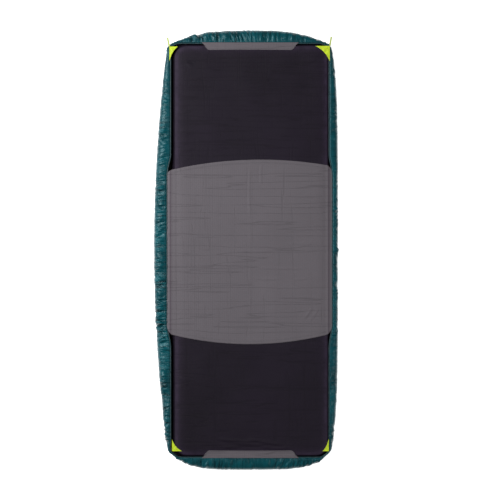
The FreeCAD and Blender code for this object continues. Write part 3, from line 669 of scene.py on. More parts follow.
@functools.lru_cache(maxsize=None)
def base_nylon():
    """The same nylon on the padded base, matt from handling."""
    colours = settings("colours")
    recipe = Recipe("base_nylon", 0.48, Specular_IOR_Level=0.45, Sheen_Weight=0.1)
    worn = recipe.ranged(recipe.noise(9.0, 4.0), 0.0, 1.0)
    recipe.colour(recipe.mixed(worn, shade(colours.nylon_dark, 0.8), shade(colours.nylon_light, 0.9)))
    recipe.roughness(recipe.ranged(recipe.noise(40.0, 2.0), 0.40, 0.56))
    woven(recipe, 0.0012, 0.3)
    recipe.bump(recipe.noise(55.0, 4.0), 0.35, 0.0015)
    return recipe.material


@functools.lru_cache(maxsize=None)
def hem_nylon():
    """Rolled hem over the elastic: the skirt's nylon, bunched small, with painted shade over the whole hem that
    deepens in the dips between the bunches.
    """
    colours = settings("colours")
    recipe = Recipe("hem_nylon", 0.46, Specular_IOR_Level=0.45, Sheen_Weight=0.08)
    gather = recipe.noise(1.0, 3.0, recipe.scaled((260.0, 60.0, 1.0), 0.0, "UV"))
    # Painted shade: the skirt colours darkened to 0.45 and 0.75, darkest where the bump dips between the
    # bunches
    recipe.colour(recipe.mixed(gather, shade(colours.nylon_dark, 0.45), shade(colours.nylon_light, 0.75)))
    recipe.roughness(recipe.ranged(gather, 0.38, 0.55))
    recipe.bump(gather, 0.8, 0.0018)
    woven(recipe, 0.0011, 0.25, "UV")
    return recipe.material


@functools.lru_cache(maxsize=None)
def pad_fabric():
    """Matt black face fabric on foam: faint press lines darkened with painted shade, a fine weave and a painted
    highlight along the seam edge.
    """
    colours = settings("colours")
    recipe = Recipe("pad_face_fabric", 0.58, Specular_IOR_Level=0.13)
    cloud = recipe.noise(2.4, 3.0)
    tint = recipe.mixed(recipe.ranged(cloud, 0.0, 1.0), shade(colours.face, 0.78), shade(colours.face, 1.20))
    across = recipe.hairlines((1.6, 34.0, 3.0), 0.022)
    along = recipe.hairlines((22.0, 1.1, 3.0), 0.014)
    lines = recipe.sum(across, recipe.sum(along, 0.6, "MULTIPLY"), "MAXIMUM")
    # Painted shade in the press-line creases: the same lines that the bump sinks darken the colour
    tint = recipe.mixed(recipe.sum(lines, 0.32, "MULTIPLY"), tint, shade(colours.face, 0.25))
    # Painted highlight: a paler band along the face's seam edge, read from the seam mark and broken up by noise
    painted_seam_highlight = recipe.sum(recipe.attribute("seam"), recipe.ranged(recipe.noise(30.0, 3.0), 0.35, 1.0), "MULTIPLY")
    recipe.colour(recipe.mixed(painted_seam_highlight, tint, shade(colours.face, 3.4)))
    recipe.roughness(recipe.ranged(cloud, 0.52, 0.64))
    recipe.bump(lines, 0.5, -0.0010)
    recipe.bump(recipe.noise(1.0, 3.0, recipe.scaled((9.0, 50.0, 20.0))), 0.22, 0.003)
    woven(recipe, 0.0013, 0.35)
    return recipe.material


@functools.lru_cache(maxsize=None)
def grey_stretch():
    """Grey stretch knit: a small grid, a little melange, and hairline creases pressed both ways with painted
    shade in them; painted shade beside the side ridges and a painted highlight along the sewn edges.
    """
    colours = settings("colours")
    recipe = Recipe("grey_stretch_knit", 0.62, Specular_IOR_Level=0.22, Sheen_Weight=0.12, Sheen_Roughness=0.5)
    melange = recipe.noise(330.0, 3.0)
    cloud = recipe.noise(3.5, 3.0)
    tint = recipe.mixed(recipe.ranged(cloud, 0.0, 1.0), shade(colours.grey, 0.94), shade(colours.grey, 1.06))
    tint = recipe.mixed(recipe.ranged(melange, 0.0, 0.5), tint, shade(colours.grey, 1.22))
    grid = recipe.sum(recipe.bands(0.0095, "X", waver=0.6), recipe.bands(0.0095, "Y", waver=0.6), "MAXIMUM")
    tint = recipe.mixed(recipe.ranged(grid, 0.0, 0.40, 0.80, 1.0), tint, shade(colours.grey, 0.72))
    across = recipe.hairlines((1.0, 26.0, 3.0), 0.012)
    along = recipe.hairlines((26.0, 0.7, 3.0), 0.007)
    lines = recipe.sum(across, recipe.sum(along, 0.6, "MULTIPLY"), "MAXIMUM")
    # Painted shade in the hairline creases: the same lines that the bump sinks darken the colour
    tint = recipe.mixed(recipe.sum(lines, 0.40, "MULTIPLY"), tint, shade(colours.grey, 0.55))
    # Painted shade in a dark band beside each side ridge, and a painted highlight on the strip between it and
    # the sewn edge, both read from the fold mark
    fold = recipe.attribute("fold")
    tint = recipe.mixed(recipe.ranged(fold, 0.0, 0.7, 0.1, 1.0), tint, (0.035, 0.022, 0.036, 1.0))
    recipe.colour(recipe.mixed(recipe.ranged(fold, 0.35, 0.0, -0.5, 0.0), tint, shade(colours.grey, 1.5)))
    recipe.roughness(recipe.ranged(melange, 0.56, 0.70))
    recipe.bump(lines, 0.7, -0.0012)
    recipe.bump(recipe.noise(1.0, 4.0, recipe.scaled((3.0, 34.0, 6.0))), 0.30, 0.0022)
    recipe.bump(grid, 0.12, 0.0004)
    woven(recipe, 0.0010, 0.40)
    return recipe.material


@functools.lru_cache(maxsize=None)
def lime_stretch():
    """Bright stretch fabric of the corner pockets, with pulls running in from the free edge."""
    colours = settings("colours")
    recipe = Recipe("lime_stretch", 0.5, Specular_IOR_Level=0.35, Sheen_Weight=0.2)
    pulls = recipe.noise(1.0, 4.0, recipe.scaled((120.0, 120.0, 20.0)))
    tint = recipe.mixed(recipe.ranged(pulls, 0.0, 1.0), shade(colours.lime, 0.80), shade(colours.lime, 1.12))
    recipe.colour(tint)
    recipe.roughness(recipe.ranged(pulls, 0.42, 0.58))
    recipe.bump(pulls, 0.30, 0.0012)
    woven(recipe, 0.0009, 0.4)
    return recipe.material


@functools.lru_cache(maxsize=None)
def lime_webbing():
    """Narrow woven tape with ribs across it and a tighter selvedge."""
    colours = settings("colours")
    recipe = Recipe("lime_webbing", 0.6, Specular_IOR_Level=0.3, Sheen_Weight=0.25)
    places = recipe.places.outputs["UV"]
    ribs = recipe.bands(0.0016, "X", places, 0.3)
    fibre = recipe.noise(1.0, 3.0, recipe.scaled((200.0, 900.0, 1.0), 0.0, "UV"))
    pale = tuple(0.35 * 0.5 + 0.65 * channel for channel in colours.lime)
    tint = recipe.mixed(ribs, shade(pale, 0.72), shade(pale, 1.0))
    recipe.colour(recipe.mixed(recipe.ranged(fibre, 0.0, 0.4), tint, shade(pale, 1.2)))
    recipe.bump(ribs, 0.6, 0.0005)
    recipe.bump(fibre, 0.3, 0.0002)
    recipe.roughness(recipe.ranged(fibre, 0.52, 0.68))
    return recipe.material


@functools.lru_cache(maxsize=None)
def thread_finish(name, red, green, blue):
    """Twisted polyester thread."""
    recipe = Recipe(name, 0.5, Specular_IOR_Level=0.4, Sheen_Weight=0.1)
    tint = (red, green, blue)
    twist = recipe.bands(0.0006, "DIAGONAL")
    recipe.colour(recipe.mixed(twist, shade(tint, 0.7), shade(tint, 1.2)))
    recipe.bump(twist, 0.5, 0.0002)
    recipe.roughness(recipe.ranged(twist, 0.42, 0.6, 0.0, 1.0))
    return recipe.material


def moulded(name, tint, roughness, grain, **uniform):
    """Injection moulded plastic or rubber with a fine spark-eroded grain."""
    recipe = Recipe(name, roughness, **uniform)
    cloud = recipe.noise(45.0, 3.0)
    recipe.colour(recipe.mixed(recipe.ranged(cloud, 0.0, 1.0), shade(tint, 0.85), shade(tint, 1.15)))
    rough = recipe.noise(300.0, 2.0)
    recipe.roughness(recipe.ranged(rough, roughness - 0.07, roughness + 0.08))
    recipe.bump(recipe.noise(grain, 2.0), 0.25, 0.0002)
    recipe.bump(cloud, 0.08, 0.0004)
    return recipe.material


@functools.lru_cache(maxsize=None)
def steel_pin():
    recipe = Recipe("drawn_steel", 0.28, Metallic=1.0)
    drawn = recipe.noise(1.0, 3.0, recipe.scaled((60.0, 60.0, 1800.0)))
    recipe.colour(recipe.mixed(drawn, (0.50, 0.50, 0.52, 1.0), (0.66, 0.66, 0.68, 1.0)))
    recipe.roughness(recipe.ranged(drawn, 0.22, 0.38))
    recipe.bump(drawn, 0.2, 0.0001)
    return recipe.material


@functools.lru_cache(maxsize=None)
def open_foam():
    """Open-cell polyurethane foam."""
    recipe = Recipe("open_cell_foam", 0.85, Specular_IOR_Level=0.2, Sheen_Weight=0.2)
    cells = recipe.node("TexVoronoi", Scale=650.0, Vector=recipe.places.outputs["Object"]).outputs["Distance"]
    cloud = recipe.ranged(recipe.noise(12.0, 3.0), 0.0, 1.0)
    body = recipe.mixed(cloud, (0.46, 0.36, 0.12, 1.0), (0.60, 0.50, 0.22, 1.0))
    recipe.colour(recipe.mixed(recipe.ranged(cells, 0.0, 0.6, 0.0, 0.5), body, (0.22, 0.16, 0.05, 1.0)))
    recipe.roughness(recipe.ranged(cells, 0.78, 0.95, 0.0, 0.6))
    recipe.bump(cells, 0.7, 0.0010)
    return recipe.material


@functools.lru_cache(maxsize=None)
def lining_nylon():
    recipe = Recipe("cover_lining", 0.55, Specular_IOR_Level=0.35, Sheen_Weight=0.1)
    cloud = recipe.ranged(recipe.noise(10.0, 4.0), 0.0, 1.0)
    recipe.colour(recipe.mixed(cloud, (0.050, 0.055, 0.062, 1.0), (0.085, 0.092, 0.102, 1.0)))
    recipe.roughness(recipe.ranged(recipe.noise(60.0, 2.0), 0.48, 0.62))
    recipe.bump(recipe.noise(45.0, 4.0), 0.3, 0.0015)
    woven(recipe, 0.0012, 0.35)
    return recipe.material


@functools.lru_cache(maxsize=None)
def floor_finish():
    recipe = Recipe("studio_floor", 0.85, Specular_IOR_Level=0.1, Base_Color=(0.88, 0.88, 0.88, 1.0),
                    Emission_Color=(1.0, 1.0, 1.0, 1.0), Emission_Strength=0.82)
    return recipe.material


# ------------------------------------------------------------------ stage

def make_stage():
    """Camera straight above on a long lens, a white floor, and soft light that comes from the head left."""
    sizes = settings("stage")
    scene = bpy.context.scene
    lens = bpy.data.cameras.new("camera")
    lens.lens = sizes.lens
    lens.sensor_width = 36.0
    lens.clip_end = 40.0
    camera = bpy.data.objects.new("camera", lens)
    camera.location = (0.020, 0.0, sizes.height)
    scene.collection.objects.link(camera)
    scene.camera = camera
    scene.view_settings.view_transform = "Standard"

    world = bpy.data.worlds.new("surround")
    world.use_nodes = True
    backdrop = world.node_tree.nodes["Background"]
    backdrop.inputs["Color"].default_value = (1.0, 1.0, 1.0, 1.0)
    backdrop.inputs["Strength"].default_value = sizes.sky
    scene.world = world
    for name, place, width, power in (("key_light", (-2.7, 1.2, 2.9), 2.4, sizes.key),
                                      ("fill_light", (2.8, -1.4, 3.0), 1.8, sizes.key * 0.16)):
        lamp = bpy.data.lights.new(name, "AREA")
        lamp.energy = power
        lamp.shape = "SQUARE"
        lamp.size = width
        light = bpy.data.objects.new(name, lamp)
        light.location = place
        light.rotation_euler = (-light.location).to_track_quat("-Z", "Y").to_euler()
        scene.collection.objects.link(light)
    half = 7.0
    corners = [(-half, -half, 0.0), (half, -half, 0.0), (half, half, 0.0), (-half, half, 0.0)]
    floor = mesh_object("studio_floor", corners, [(0, 1, 2, 3)], floor_finish())


# ------------------------------------------------------------------ pad

def rounded_face(x, y):
    """Map a point of the square-cornered face to the face with round corners, ring by ring."""
    level = np.maximum(np.abs(x) / FACE_HALF.x, np.abs(y) / FACE_HALF.y)
    radius = FACE_CORNER * level ** 6
    ring_x, ring_y = FACE_HALF.x * level, FACE_HALF.y * level
    past_x = np.abs(x) - (ring_x - radius)
    past_y = np.abs(y) - (ring_y - radius)
    in_corner = (past_x > 0.0) & (past_y > 0.0) & (radius > 1e-9)
    safe = np.where(in_corner, radius, 1.0)
    on_side = past_x >= past_y
    angle = np.where(on_side, past_y / safe, 2.0 - past_x / safe) * math.pi / 4.0
    round_x = ring_x - radius + radius * np.cos(angle)
    round_y = ring_y - radius + radius * np.sin(angle)
    mapped_x = np.where(in_corner, round_x, np.abs(x)) * np.sign(x)
    mapped_y = np.where(in_corner, round_y, np.abs(y)) * np.sign(y)
    return mapped_x, mapped_y


def rim_place(x, y):
    """Distance round the square-cornered face, of the ring point in line with each point."""
    share_x, share_y = x / FACE_HALF.x, y / FACE_HALF.y
    on_side = np.abs(share_x) >= np.abs(share_y)
    level = np.maximum(np.maximum(np.abs(share_x), np.abs(share_y)), 1e-6)
    side_place = np.where(x > 0, share_y / level, -share_y / level) * FACE_HALF.y
    end_place = np.where(y > 0, -share_x / level, share_x / level) * FACE_HALF.x
    quarter = FACE_HALF.x + FACE_HALF.y
    start = np.where(on_side, np.where(x > 0, 0.0, 2.0 * quarter), np.where(y > 0, quarter, 3.0 * quarter))
    return (start + np.where(on_side, side_place, end_place)) % (4.0 * quarter)


def seam_puckers(places):
    """Height from -1 to 1 of the little puckers along the pad's face seam."""
    total = 4.0 * (FACE_HALF.x + FACE_HALF.y)
    rng = np.random.default_rng(17)
    count = 4001
    stops = np.linspace(0.0, total, count)
    wave = np.zeros_like(stops)
    for pitch, share in ((0.0125, 0.55), (0.019, 0.5), (0.034, 0.35)):
        wave += share * patchwork(rng, (count, 2), (int(total / pitch), 1))[:, 0]
    patches = 0.65 + 0.45 * patchwork(rng, (count, 2), (int(total / 0.16), 1))[:, 0]
    return np.interp(places, stops, wave * patches, period=total)


def grid_rim(columns, rows):
    """Vertex numbers round the edge of a grid, counter-clockwise from its low corner."""
    index = np.arange(columns * rows).reshape(columns, rows)
    return np.concatenate([index[:-1, 0], index[-1, :-1], index[:0:-1, -1], index[0, :0:-1]])


def make_pad():
    """One closed shell: crowned face, welded seam edge, bulged side wall and the flat face below."""
    sizes = settings("pad")
    columns = int(round(2.0 * FACE_HALF.x / sizes.cell)) + 1
    rows = int(round(2.0 * FACE_HALF.y / sizes.cell)) + 1
    square_x, square_y = np.meshgrid(np.linspace(-FACE_HALF.x, FACE_HALF.x, columns),
                                     np.linspace(-FACE_HALF.y, FACE_HALF.y, rows), indexing="ij")
    flat_x, flat_y = rounded_face(square_x, square_y)
    x, y = flat_x + FACE_MIDDLE.x, flat_y + FACE_MIDDLE.y
    pucker = seam_puckers(rim_place(square_x, square_y))
    near_seam = np.exp(-(seam_distance(x, y) / 0.017) ** 2)
    height = face_height(x, y) + sizes.pucker * (0.5 + 0.5 * pucker) * near_seam
    height = height + crease_relief(x, y, PAD_CREASES)
    vertices = [np.stack([x, y, height], axis=-1).reshape(-1, 3)]
    faces = [list(quad) for quad in grid_faces(columns, rows)]

    rim = grid_rim(columns, rows)
    edge = vertices[0][rim]
    tangent = np.roll(edge[:, :2], -1, axis=0) - np.roll(edge[:, :2], 1, axis=0)
    tangent /= np.linalg.norm(tangent, axis=1, keepdims=True)
    outward = np.stack([tangent[:, 1], -tangent[:, 0]], axis=1)
    rim_pucker = pucker.reshape(-1)[rim]
    depth = FACE_TOP - PAD_FLOOR
    bend_radius = (depth ** 2 / 4.0 + SIDE_BULGE ** 2) / (2.0 * SIDE_BULGE)
    widest = math.asin(depth / 2.0 / bend_radius)
    # each row: how far out it runs, how far down, and whether it belongs to the welded seam edge
    seam_drop = 0.0020
    wall_rows = [(0.0048, -0.0002, True), (0.0052, -0.0014, True), (0.0006, -seam_drop, True)]
    for turn in np.linspace(widest, -widest, 20)[1:]:
        out = bend_radius * (math.cos(turn) - math.cos(widest))
        fall = (math.sin(turn) / math.sin(widest) - 1.0) / 2.0
        wall_rows.append((out, fall, False))
    previous = rim
    count = len(vertices[0])
    for out, fall, seam in wall_rows:
        ring = np.zeros((len(rim), 3))
        if seam:
            ring[:, :2] = edge[:, :2] + outward * out
            ring[:, 2] = edge[:, 2] + fall
        else:
            top_share = 1.0 + fall
            ruck = 0.0014 * rim_pucker * (np.exp(-(fall / 0.16) ** 2) + np.exp(-(top_share / 0.16) ** 2))
            ring[:, :2] = edge[:, :2] + outward * (out + ruck)[:, None]
            ring[:, 2] = PAD_FLOOR + (edge[:, 2] - seam_drop - PAD_FLOOR) * top_share
        vertices.append(ring)
        numbers = np.arange(count, count + len(rim))
        count += len(rim)
        after, before = np.roll(numbers, -1), np.roll(previous, -1)
        faces += [list(quad) for quad in np.stack([previous, numbers, after, before], axis=1)]
        previous = numbers
    faces.append([int(number) for number in previous[::-1]])
    vertices = np.concatenate(vertices)
    pad = mesh_object("pad_shell", vertices, faces, pad_fabric())
    # The seam mark: where the painted highlight lies along the face's seam edge
    painted_seam_highlight = np.exp(-np.abs(seam_distance(vertices[:, 0], vertices[:, 1]) - 0.004) / 0.012)
    mark_points(pad, "seam", painted_seam_highlight * (vertices[:, 2] > FACE_TOP - 0.003))
    face_outwards(pad)
    settle(pad, ROOT, "pad_fabric", "pad_ground_skin", "pad_sleep_skin", "pad_side_wall")


# ------------------------------------------------------------------ cover

def resampled(line, count):
    """The same line in evenly spaced points."""
    distance = np.concatenate([[0.0], np.cumsum(np.linalg.norm(np.diff(line, axis=0), axis=1))])
    places = np.linspace(0.0, distance[-1], count)
    return np.stack([np.interp(places, distance, line[:, k]) for k in range(line.shape[1])], axis=1)


def cover_edges(inset, across_count, along_count):
    """Plan of the cover's four sides, set in from the widest line, from corner to shared corner."""
    columns = 1440
    outer, hem, _, _, _, marks = cover_ring(columns)
    way = (outer - hem) / np.linalg.norm(outer - hem, axis=1)[:, None]
    line = outer - way * inset
    head, right, foot, left = (line[part] for _, part in ring_parts(marks))
    return (resampled(head, across_count), resampled(right[::-1], along_count),
            resampled(foot[::-1], across_count), resampled(left, along_count))


def make_base():
    """Quilted base under the pad: flat where the pad lies, channelled into diamonds underneath."""
    across_count, along_count = 130, 320
    inset, quilt_pitch, channel_depth, edge_drop, clearance = 0.0116, 0.15, 0.0035, 0.0060, 0.0012
    head, right, foot, left = cover_edges(inset, across_count, along_count)
    across = np.linspace(0.0, 1.0, across_count)[:, None, None]
    along = np.linspace(0.0, 1.0, along_count)[None, :, None]
    plan = (1 - along) * foot[:, None] + along * head[:, None]
    plan = plan + (1 - across) * left[None] + across * right[None]
    plan = plan - ((1 - across) * (1 - along) * foot[0] + across * (1 - along) * foot[-1]
                   + (1 - across) * along * head[0] + across * along * head[-1])
    x, y = plan[..., 0], plan[..., 1]
    edge = np.minimum(np.minimum(across, 1 - across), np.minimum(along, 1 - along) * 2.4)[..., 0]
    rounding = edge_drop * (1.0 - smooth_step(edge / 0.018))
    first = np.abs(((x + y) / quilt_pitch) % 1.0 - 0.5)
    second = np.abs(((x - y) / quilt_pitch) % 1.0 - 0.5)
    channel = np.exp(-((0.5 - np.maximum(first, second)) / 0.045) ** 2)
    low = channel_depth * channel + rounding
    high = LINING_HIGH - clearance - rounding
    top = np.stack([x, y, high], axis=-1).reshape(-1, 3)
    bottom = np.stack([x, y, low], axis=-1).reshape(-1, 3)
    quads = grid_faces(across_count, along_count)
    rim = grid_rim(across_count, along_count)
    shift = len(top)
    side = np.stack([rim, rim + shift, np.roll(rim, -1) + shift, np.roll(rim, -1)], axis=1)
    faces = np.concatenate([quads, quads[:, ::-1] + shift, side])
    base = mesh_object("cover_base", np.concatenate([top, bottom]), faces, base_nylon())
    face_outwards(base)
    settle(base, ROOT, "cover_nylon", "cover_base_outer", "cover_base_fill")


# How the thin coated nylon behaves while it settles
THIN_NYLON = {"quality": 5, "mass": 0.08,
              "tension_stiffness": 30.0, "compression_stiffness": 30.0, "shear_stiffness": 10.0,
              "bending_stiffness": 0.35, "tension_damping": 5.0, "compression_damping": 5.0,
              "shear_damping": 5.0, "bending_damping": 0.5}


def settled_skirts(plain, folded):
    """Let the gathered cloth find its own folds between its sewn edges; returns its settled points."""
    sizes = settings("cover")
    columns, rows = folded.shape[:2]
    _, _, places, fullness, _, _ = cover_ring(columns - 1)
    cloth = grid_object("skirt_cloth", folded, None)
    cloth.shape_key_add(name="hung")
    cut = cloth.shape_key_add(name="cut")
    growth = 1.0 + (fullness[1:] + fullness[:-1]) / 2.0
    flat = np.zeros_like(folded)
    flat[1:, :, 0] = np.cumsum(growth * np.diff(places))[:, None]
    flat[:, 1:, 1] = np.cumsum(np.linalg.norm(np.diff(plain, axis=1), axis=2), axis=1) * 1.01
    cut.data.foreach_set("co", flat.ravel())
    cut.value = 0.0
    index = np.arange(columns * rows).reshape(columns, rows)
    sewn = np.unique(np.concatenate([index[:, 0], index[:, -1], index[0], index[-1]]))
    pinned = cloth.vertex_groups.new(name="sewn")
    pinned.add([int(number) for number in sewn], 1.0, "REPLACE")
    modifier = cloth.modifiers.new("cloth", "CLOTH")
    fabric = modifier.settings
    for key, value in THIN_NYLON.items():
        setattr(fabric, key, value)
    fabric.effector_weights.gravity = 0.0
    fabric.vertex_group_mass = "sewn"
    fabric.pin_stiffness = 1.0
    fabric.rest_shape_key = cut
    modifier.collision_settings.use_collision = False
    modifier.point_cache.frame_start = 1
    modifier.point_cache.frame_end = sizes.frames
    scene = bpy.context.scene
    for step in range(1, sizes.frames + 1):
        scene.frame_set(step)
    shaped = cloth.evaluated_get(bpy.context.evaluated_depsgraph_get()).data
    points = np.zeros(len(shaped.vertices) * 3)
    shaped.vertices.foreach_get("co", points)
    points = points.reshape(folded.shape)
    scene.frame_set(1)
    bpy.data.objects.remove(cloth)
    moved = points - plain
    length = np.linalg.norm(moved, axis=2, keepdims=True)
    return plain + moved * np.minimum(1.0, sizes.reach / np.maximum(length, 1e-9))


def make_skirts():
    """Four gathered skirts, settled together as one ring and then cut at the mitred corner seams."""
    sizes = settings("cover")
    _, _, places, fullness, _, marks = cover_ring(sizes.columns)
    plain, folded, normal = skirt_form(sizes.columns, sizes.rows, sizes.fold)
    points = settled_skirts(plain, folded)
    rounds = places[-1]
    pinch = np.zeros(sizes.columns + 1)
    for mark in marks:
        gap = np.abs(places - places[mark])
        gap = np.minimum(gap, rounds - gap)
        pinch = np.maximum(pinch, np.exp(-(gap / 0.0045) ** 2))
    across = np.linspace(0.0, 1.0, sizes.rows)
    sewn = smooth_step(across / 0.05) * smooth_step((1 - across) / 0.05)
    points = points - normal * (0.0016 * pinch[:, None] * sewn[None, :])[:, :, None]
    uv = np.zeros(points.shape[:2] + (2,))
    uv[:, :, 0] = places[:, None]
    uv[:, 1:, 1] = np.cumsum(np.linalg.norm(np.diff(plain, axis=1), axis=2), axis=1)
    for side, part in ring_parts(marks):
        skirt = grid_object("skirt_%s_cloth" % side, points[part], skirt_nylon(), uv[part])
        normals = np.array([polygon.normal for polygon in skirt.data.polygons])
        centres = np.array([polygon.center for polygon in skirt.data.polygons])
        way = np.array(SIDES[side]["way"] + (0,), float)
        outer_half = centres[:, 2] < 0.09
        if (normals[outer_half] @ way).mean() < 0.0:
            skirt.data.flip_normals()
        # How full the cloth is cut; the finish reads it to strengthen its painted highlight and painted shade
        # on the crinkles
        mark_points(skirt, "gather", np.repeat(np.clip(fullness[part] / 0.15, 0.0, 1.2), sizes.rows))
        thicken(skirt, sizes.cloth)
        settle(skirt, ROOT, "cover_nylon", "skirt_" + side)


def hem_line(inset, drop):
    """Points along the ruffled hem, set in and down from its edge, and the way in at each."""
    sizes = settings("cover")
    outer, hem, _, _, _, marks = cover_ring(sizes.columns)
    _, folded, _ = skirt_form(sizes.columns, sizes.rows, sizes.fold)
    inward = (hem - outer) / np.linalg.norm(outer - hem, axis=1)[:, None]
    line = folded[:, 0].copy()
    line[:, :2] += inward * inset
    line[:, 2] -= drop
    return line, inward, marks


def make_hem_casings():
    """Rolled hems over the elastic, bunched unevenly along their run."""
    sizes = settings("cover")
    radius = sizes.casing
    line, inward, marks = hem_line(radius, radius * 0.9)
    rng = np.random.default_rng(29)
    bunch = 0.6 * patchwork(rng, (len(line), 2), (int(len(line) / 2.2), 1))[:, 0]
    bunch += 0.4 * patchwork(rng, (len(line), 2), (int(len(line) / 5.0), 1))[:, 0]
    widths = radius * (1.0 + 0.16 * bunch)
    for side, part in ring_parts(marks):
        rings = tube_points(line[part], inward[part], widths[part], 10)
        casing = tube_object("hem_casing_" + side, rings, hem_nylon())
        settle(casing, ROOT, "elastic", "hem_elastic_" + side)


# ------------------------------------------------------------------ holding panels

def arc_through(points, x):
    """Y on the circle through three points, at each x."""
    (x1, y1), (x2, y2), (x3, y3) = points
    bend = 2.0 * (x1 * (y2 - y3) + x2 * (y3 - y1) + x3 * (y1 - y2))
    away1, away2, away3 = x1 ** 2 + y1 ** 2, x2 ** 2 + y2 ** 2, x3 ** 2 + y3 ** 2
    centre_x = (away1 * (y2 - y3) + away2 * (y3 - y1) + away3 * (y1 - y2)) / bend
    centre_y = (away1 * (x3 - x2) + away2 * (x1 - x3) + away3 * (x2 - x1)) / bend
    radius = math.hypot(x1 - centre_x, y1 - centre_y)
    side = 1.0 if y2 > centre_y else -1.0
    return centre_y + side * np.sqrt(radius ** 2 - (x - centre_x) ** 2)


def sleeve_edge(x, end):
    """Where the centre sleeve's bowed free edge runs, at its head end or its foot end."""
    left, right = SLEEVE_LOW.x, SLEEVE_HIGH.x
    middle = (left + right) / 2.0
    corner = 0.030
    if end == "head":
        tips, peak, sides = (0.382, 0.403), SLEEVE_HIGH.y, (0.352, 0.352)
    else:
        tips, peak, sides = (-0.403, -0.403), SLEEVE_LOW.y, (-0.343, -0.343)
    arc = ((left + corner, tips[0]), (middle, peak), (right - corner, tips[1]))
    edge = arc_through(arc, x)
    for near, side_y in ((left, sides[0]), (right, sides[1])):
        tip_y = arc_through(arc, np.array(near))
        gone = np.clip(1.0 - np.abs(x - near) / corner, 0.0, 1.0)
        edge = edge + (side_y - float(tip_y)) * (1.0 - np.sqrt(1.0 - gone ** 2))
    return edge


def panel_height(x, y):
    """Height of a stretch panel that lies over the pad and runs out to the hem beside it."""
    over_hem, over_gap = SKIRT_TOP + 0.0006, SKIRT_TOP + 0.0030
    beyond = -seam_distance(x, y)
    out = smooth_step((beyond + 0.004) / 0.030)
    on_pad = np.maximum(face_height(x, y) + 0.0014, over_gap * smooth_step(1 + beyond / 0.05))
    return np.where(beyond > 0.0, over_gap * (1 - out) + over_hem * out, on_pad)


def make_sleeve():
    """Wide grey sleeve: sewn to the skirts at its sides, drawn over the pad, with turned and stitched ends."""
    sizes = settings("cover")
    columns, rows = 161, 181
    x_line = np.linspace(SLEEVE_LOW.x, SLEEVE_HIGH.x, columns)
    head, foot = sleeve_edge(x_line, "head"), sleeve_edge(x_line, "foot")
    share = np.linspace(0.0, 1.0, rows)[None, :]
    x = np.repeat(x_line[:, None], rows, axis=1)
    y = foot[:, None] * (1.0 - share) + head[:, None] * share
    height = panel_height(x, y) + crease_relief(x, y, SLEEVE_CREASES)
    # a ridge along each sewn side with the hem pulled down outside it, the turned ends, and the middle crease
    from_side = np.minimum(x - SLEEVE_LOW.x, SLEEVE_HIGH.x - x)
    height += 0.0011 * np.exp(-((from_side - 0.0215) / 0.0045) ** 2)
    height -= 0.0026 * smooth_step(1.0 - from_side / 0.016)
    from_end = np.minimum(y - foot[:, None], head[:, None] - y)
    height += 0.0005 * smooth_step((0.019 - from_end) / 0.004)
    height += 0.0004 * np.exp(-((x - 0.020) / 0.0045) ** 2)
    points = np.stack([x, y, height], axis=-1)
    sleeve = grid_object("sleeve_panel", points, grey_stretch())
    # The fold mark: where the painted shade lies beside each side ridge (positive) and where the painted
    # highlight lies along the sewn edge (negative)
    side_line = np.exp(-((from_side - 0.0190) / 0.0042) ** 2)
    mark_points(sleeve, "fold", side_line - 0.5 * np.exp(-(from_side / 0.014) ** 2))
    thicken(sleeve, sizes.panel)
    settle(sleeve, ROOT, "stretch_grey", "centre_sleeve")


def tab_outline(low, high, towards_head):
    """Plan grid of an end tab: long sewn side at the hem, shorter free side with round corners."""
    middle = (low.x + high.x) / 2.0
    corner = 0.020
    long_half = (high.x - low.x) / 2.0
    short_half = long_half - corner
    deep = high.y - low.y
    share = np.linspace(-1.0, 1.0, TAB_GRID[0])[:, None]
    down = np.linspace(0.0, 1.0, TAB_GRID[1])[None, :]
    half = long_half + (short_half - long_half) * down
    from_tip = (1.0 - np.abs(share)) * short_half
    rounded = corner - np.sqrt(np.maximum(corner ** 2 - (corner - from_tip) ** 2, 0.0))
    cut = np.where(from_tip < corner, rounded, 0.0)
    x = middle + share * half
    bow = 0.0014 * (1.0 - share ** 2)
    reach = (deep - cut - bow) * down
    y = (high.y - reach) if towards_head else (low.y + reach)
    return x, y, reach


def make_end_tab(end):
    """Grey stretch tab that holds the pad's end, folded at the hem where it lifts."""
    sizes = settings("cover")
    towards_head = end == "head"
    low, high = (HEAD_TAB_LOW, HEAD_TAB_HIGH) if towards_head else (FOOT_TAB_LOW, FOOT_TAB_HIGH)
    x, y, reach = tab_outline(low, high, towards_head)
    on_pad = face_height(x, y) + 0.0016
    start = SKIRT_TOP + 0.0016
    lie = smooth_step(reach / 0.030)
    height = np.maximum(start * (1 - lie) + on_pad * lie, on_pad * (reach > 0.012))
    rng = np.random.default_rng(5 if towards_head else 6)
    creases = patchwork(rng, x.shape, (7, 5)) * 0.0007 + patchwork(rng, x.shape, (18, 3)) * 0.0004
    height = height + creases * smooth_step(reach / 0.008) + 0.0005 * smooth_step((reach - 0.028) / 0.004)
    height = np.maximum(height, np.where(reach > 0.018, on_pad - 0.0002, 0.0))
    points = np.stack([x, y, height], axis=-1)
    tab = grid_object(end + "_tab_panel", points, grey_stretch(), turned=towards_head)
    thicken(tab, sizes.panel)
    hem_y, sign = (high.y, -1.0) if towards_head else (low.y, 1.0)
    middle_x = (low.x + high.x) / 2.0
    settle_across(tab, end + "_tab", "stretch_grey", (middle_x, hem_y + sign * 0.001, start),
                  (middle_x, hem_y + sign * 0.015, start), end + "_tab")


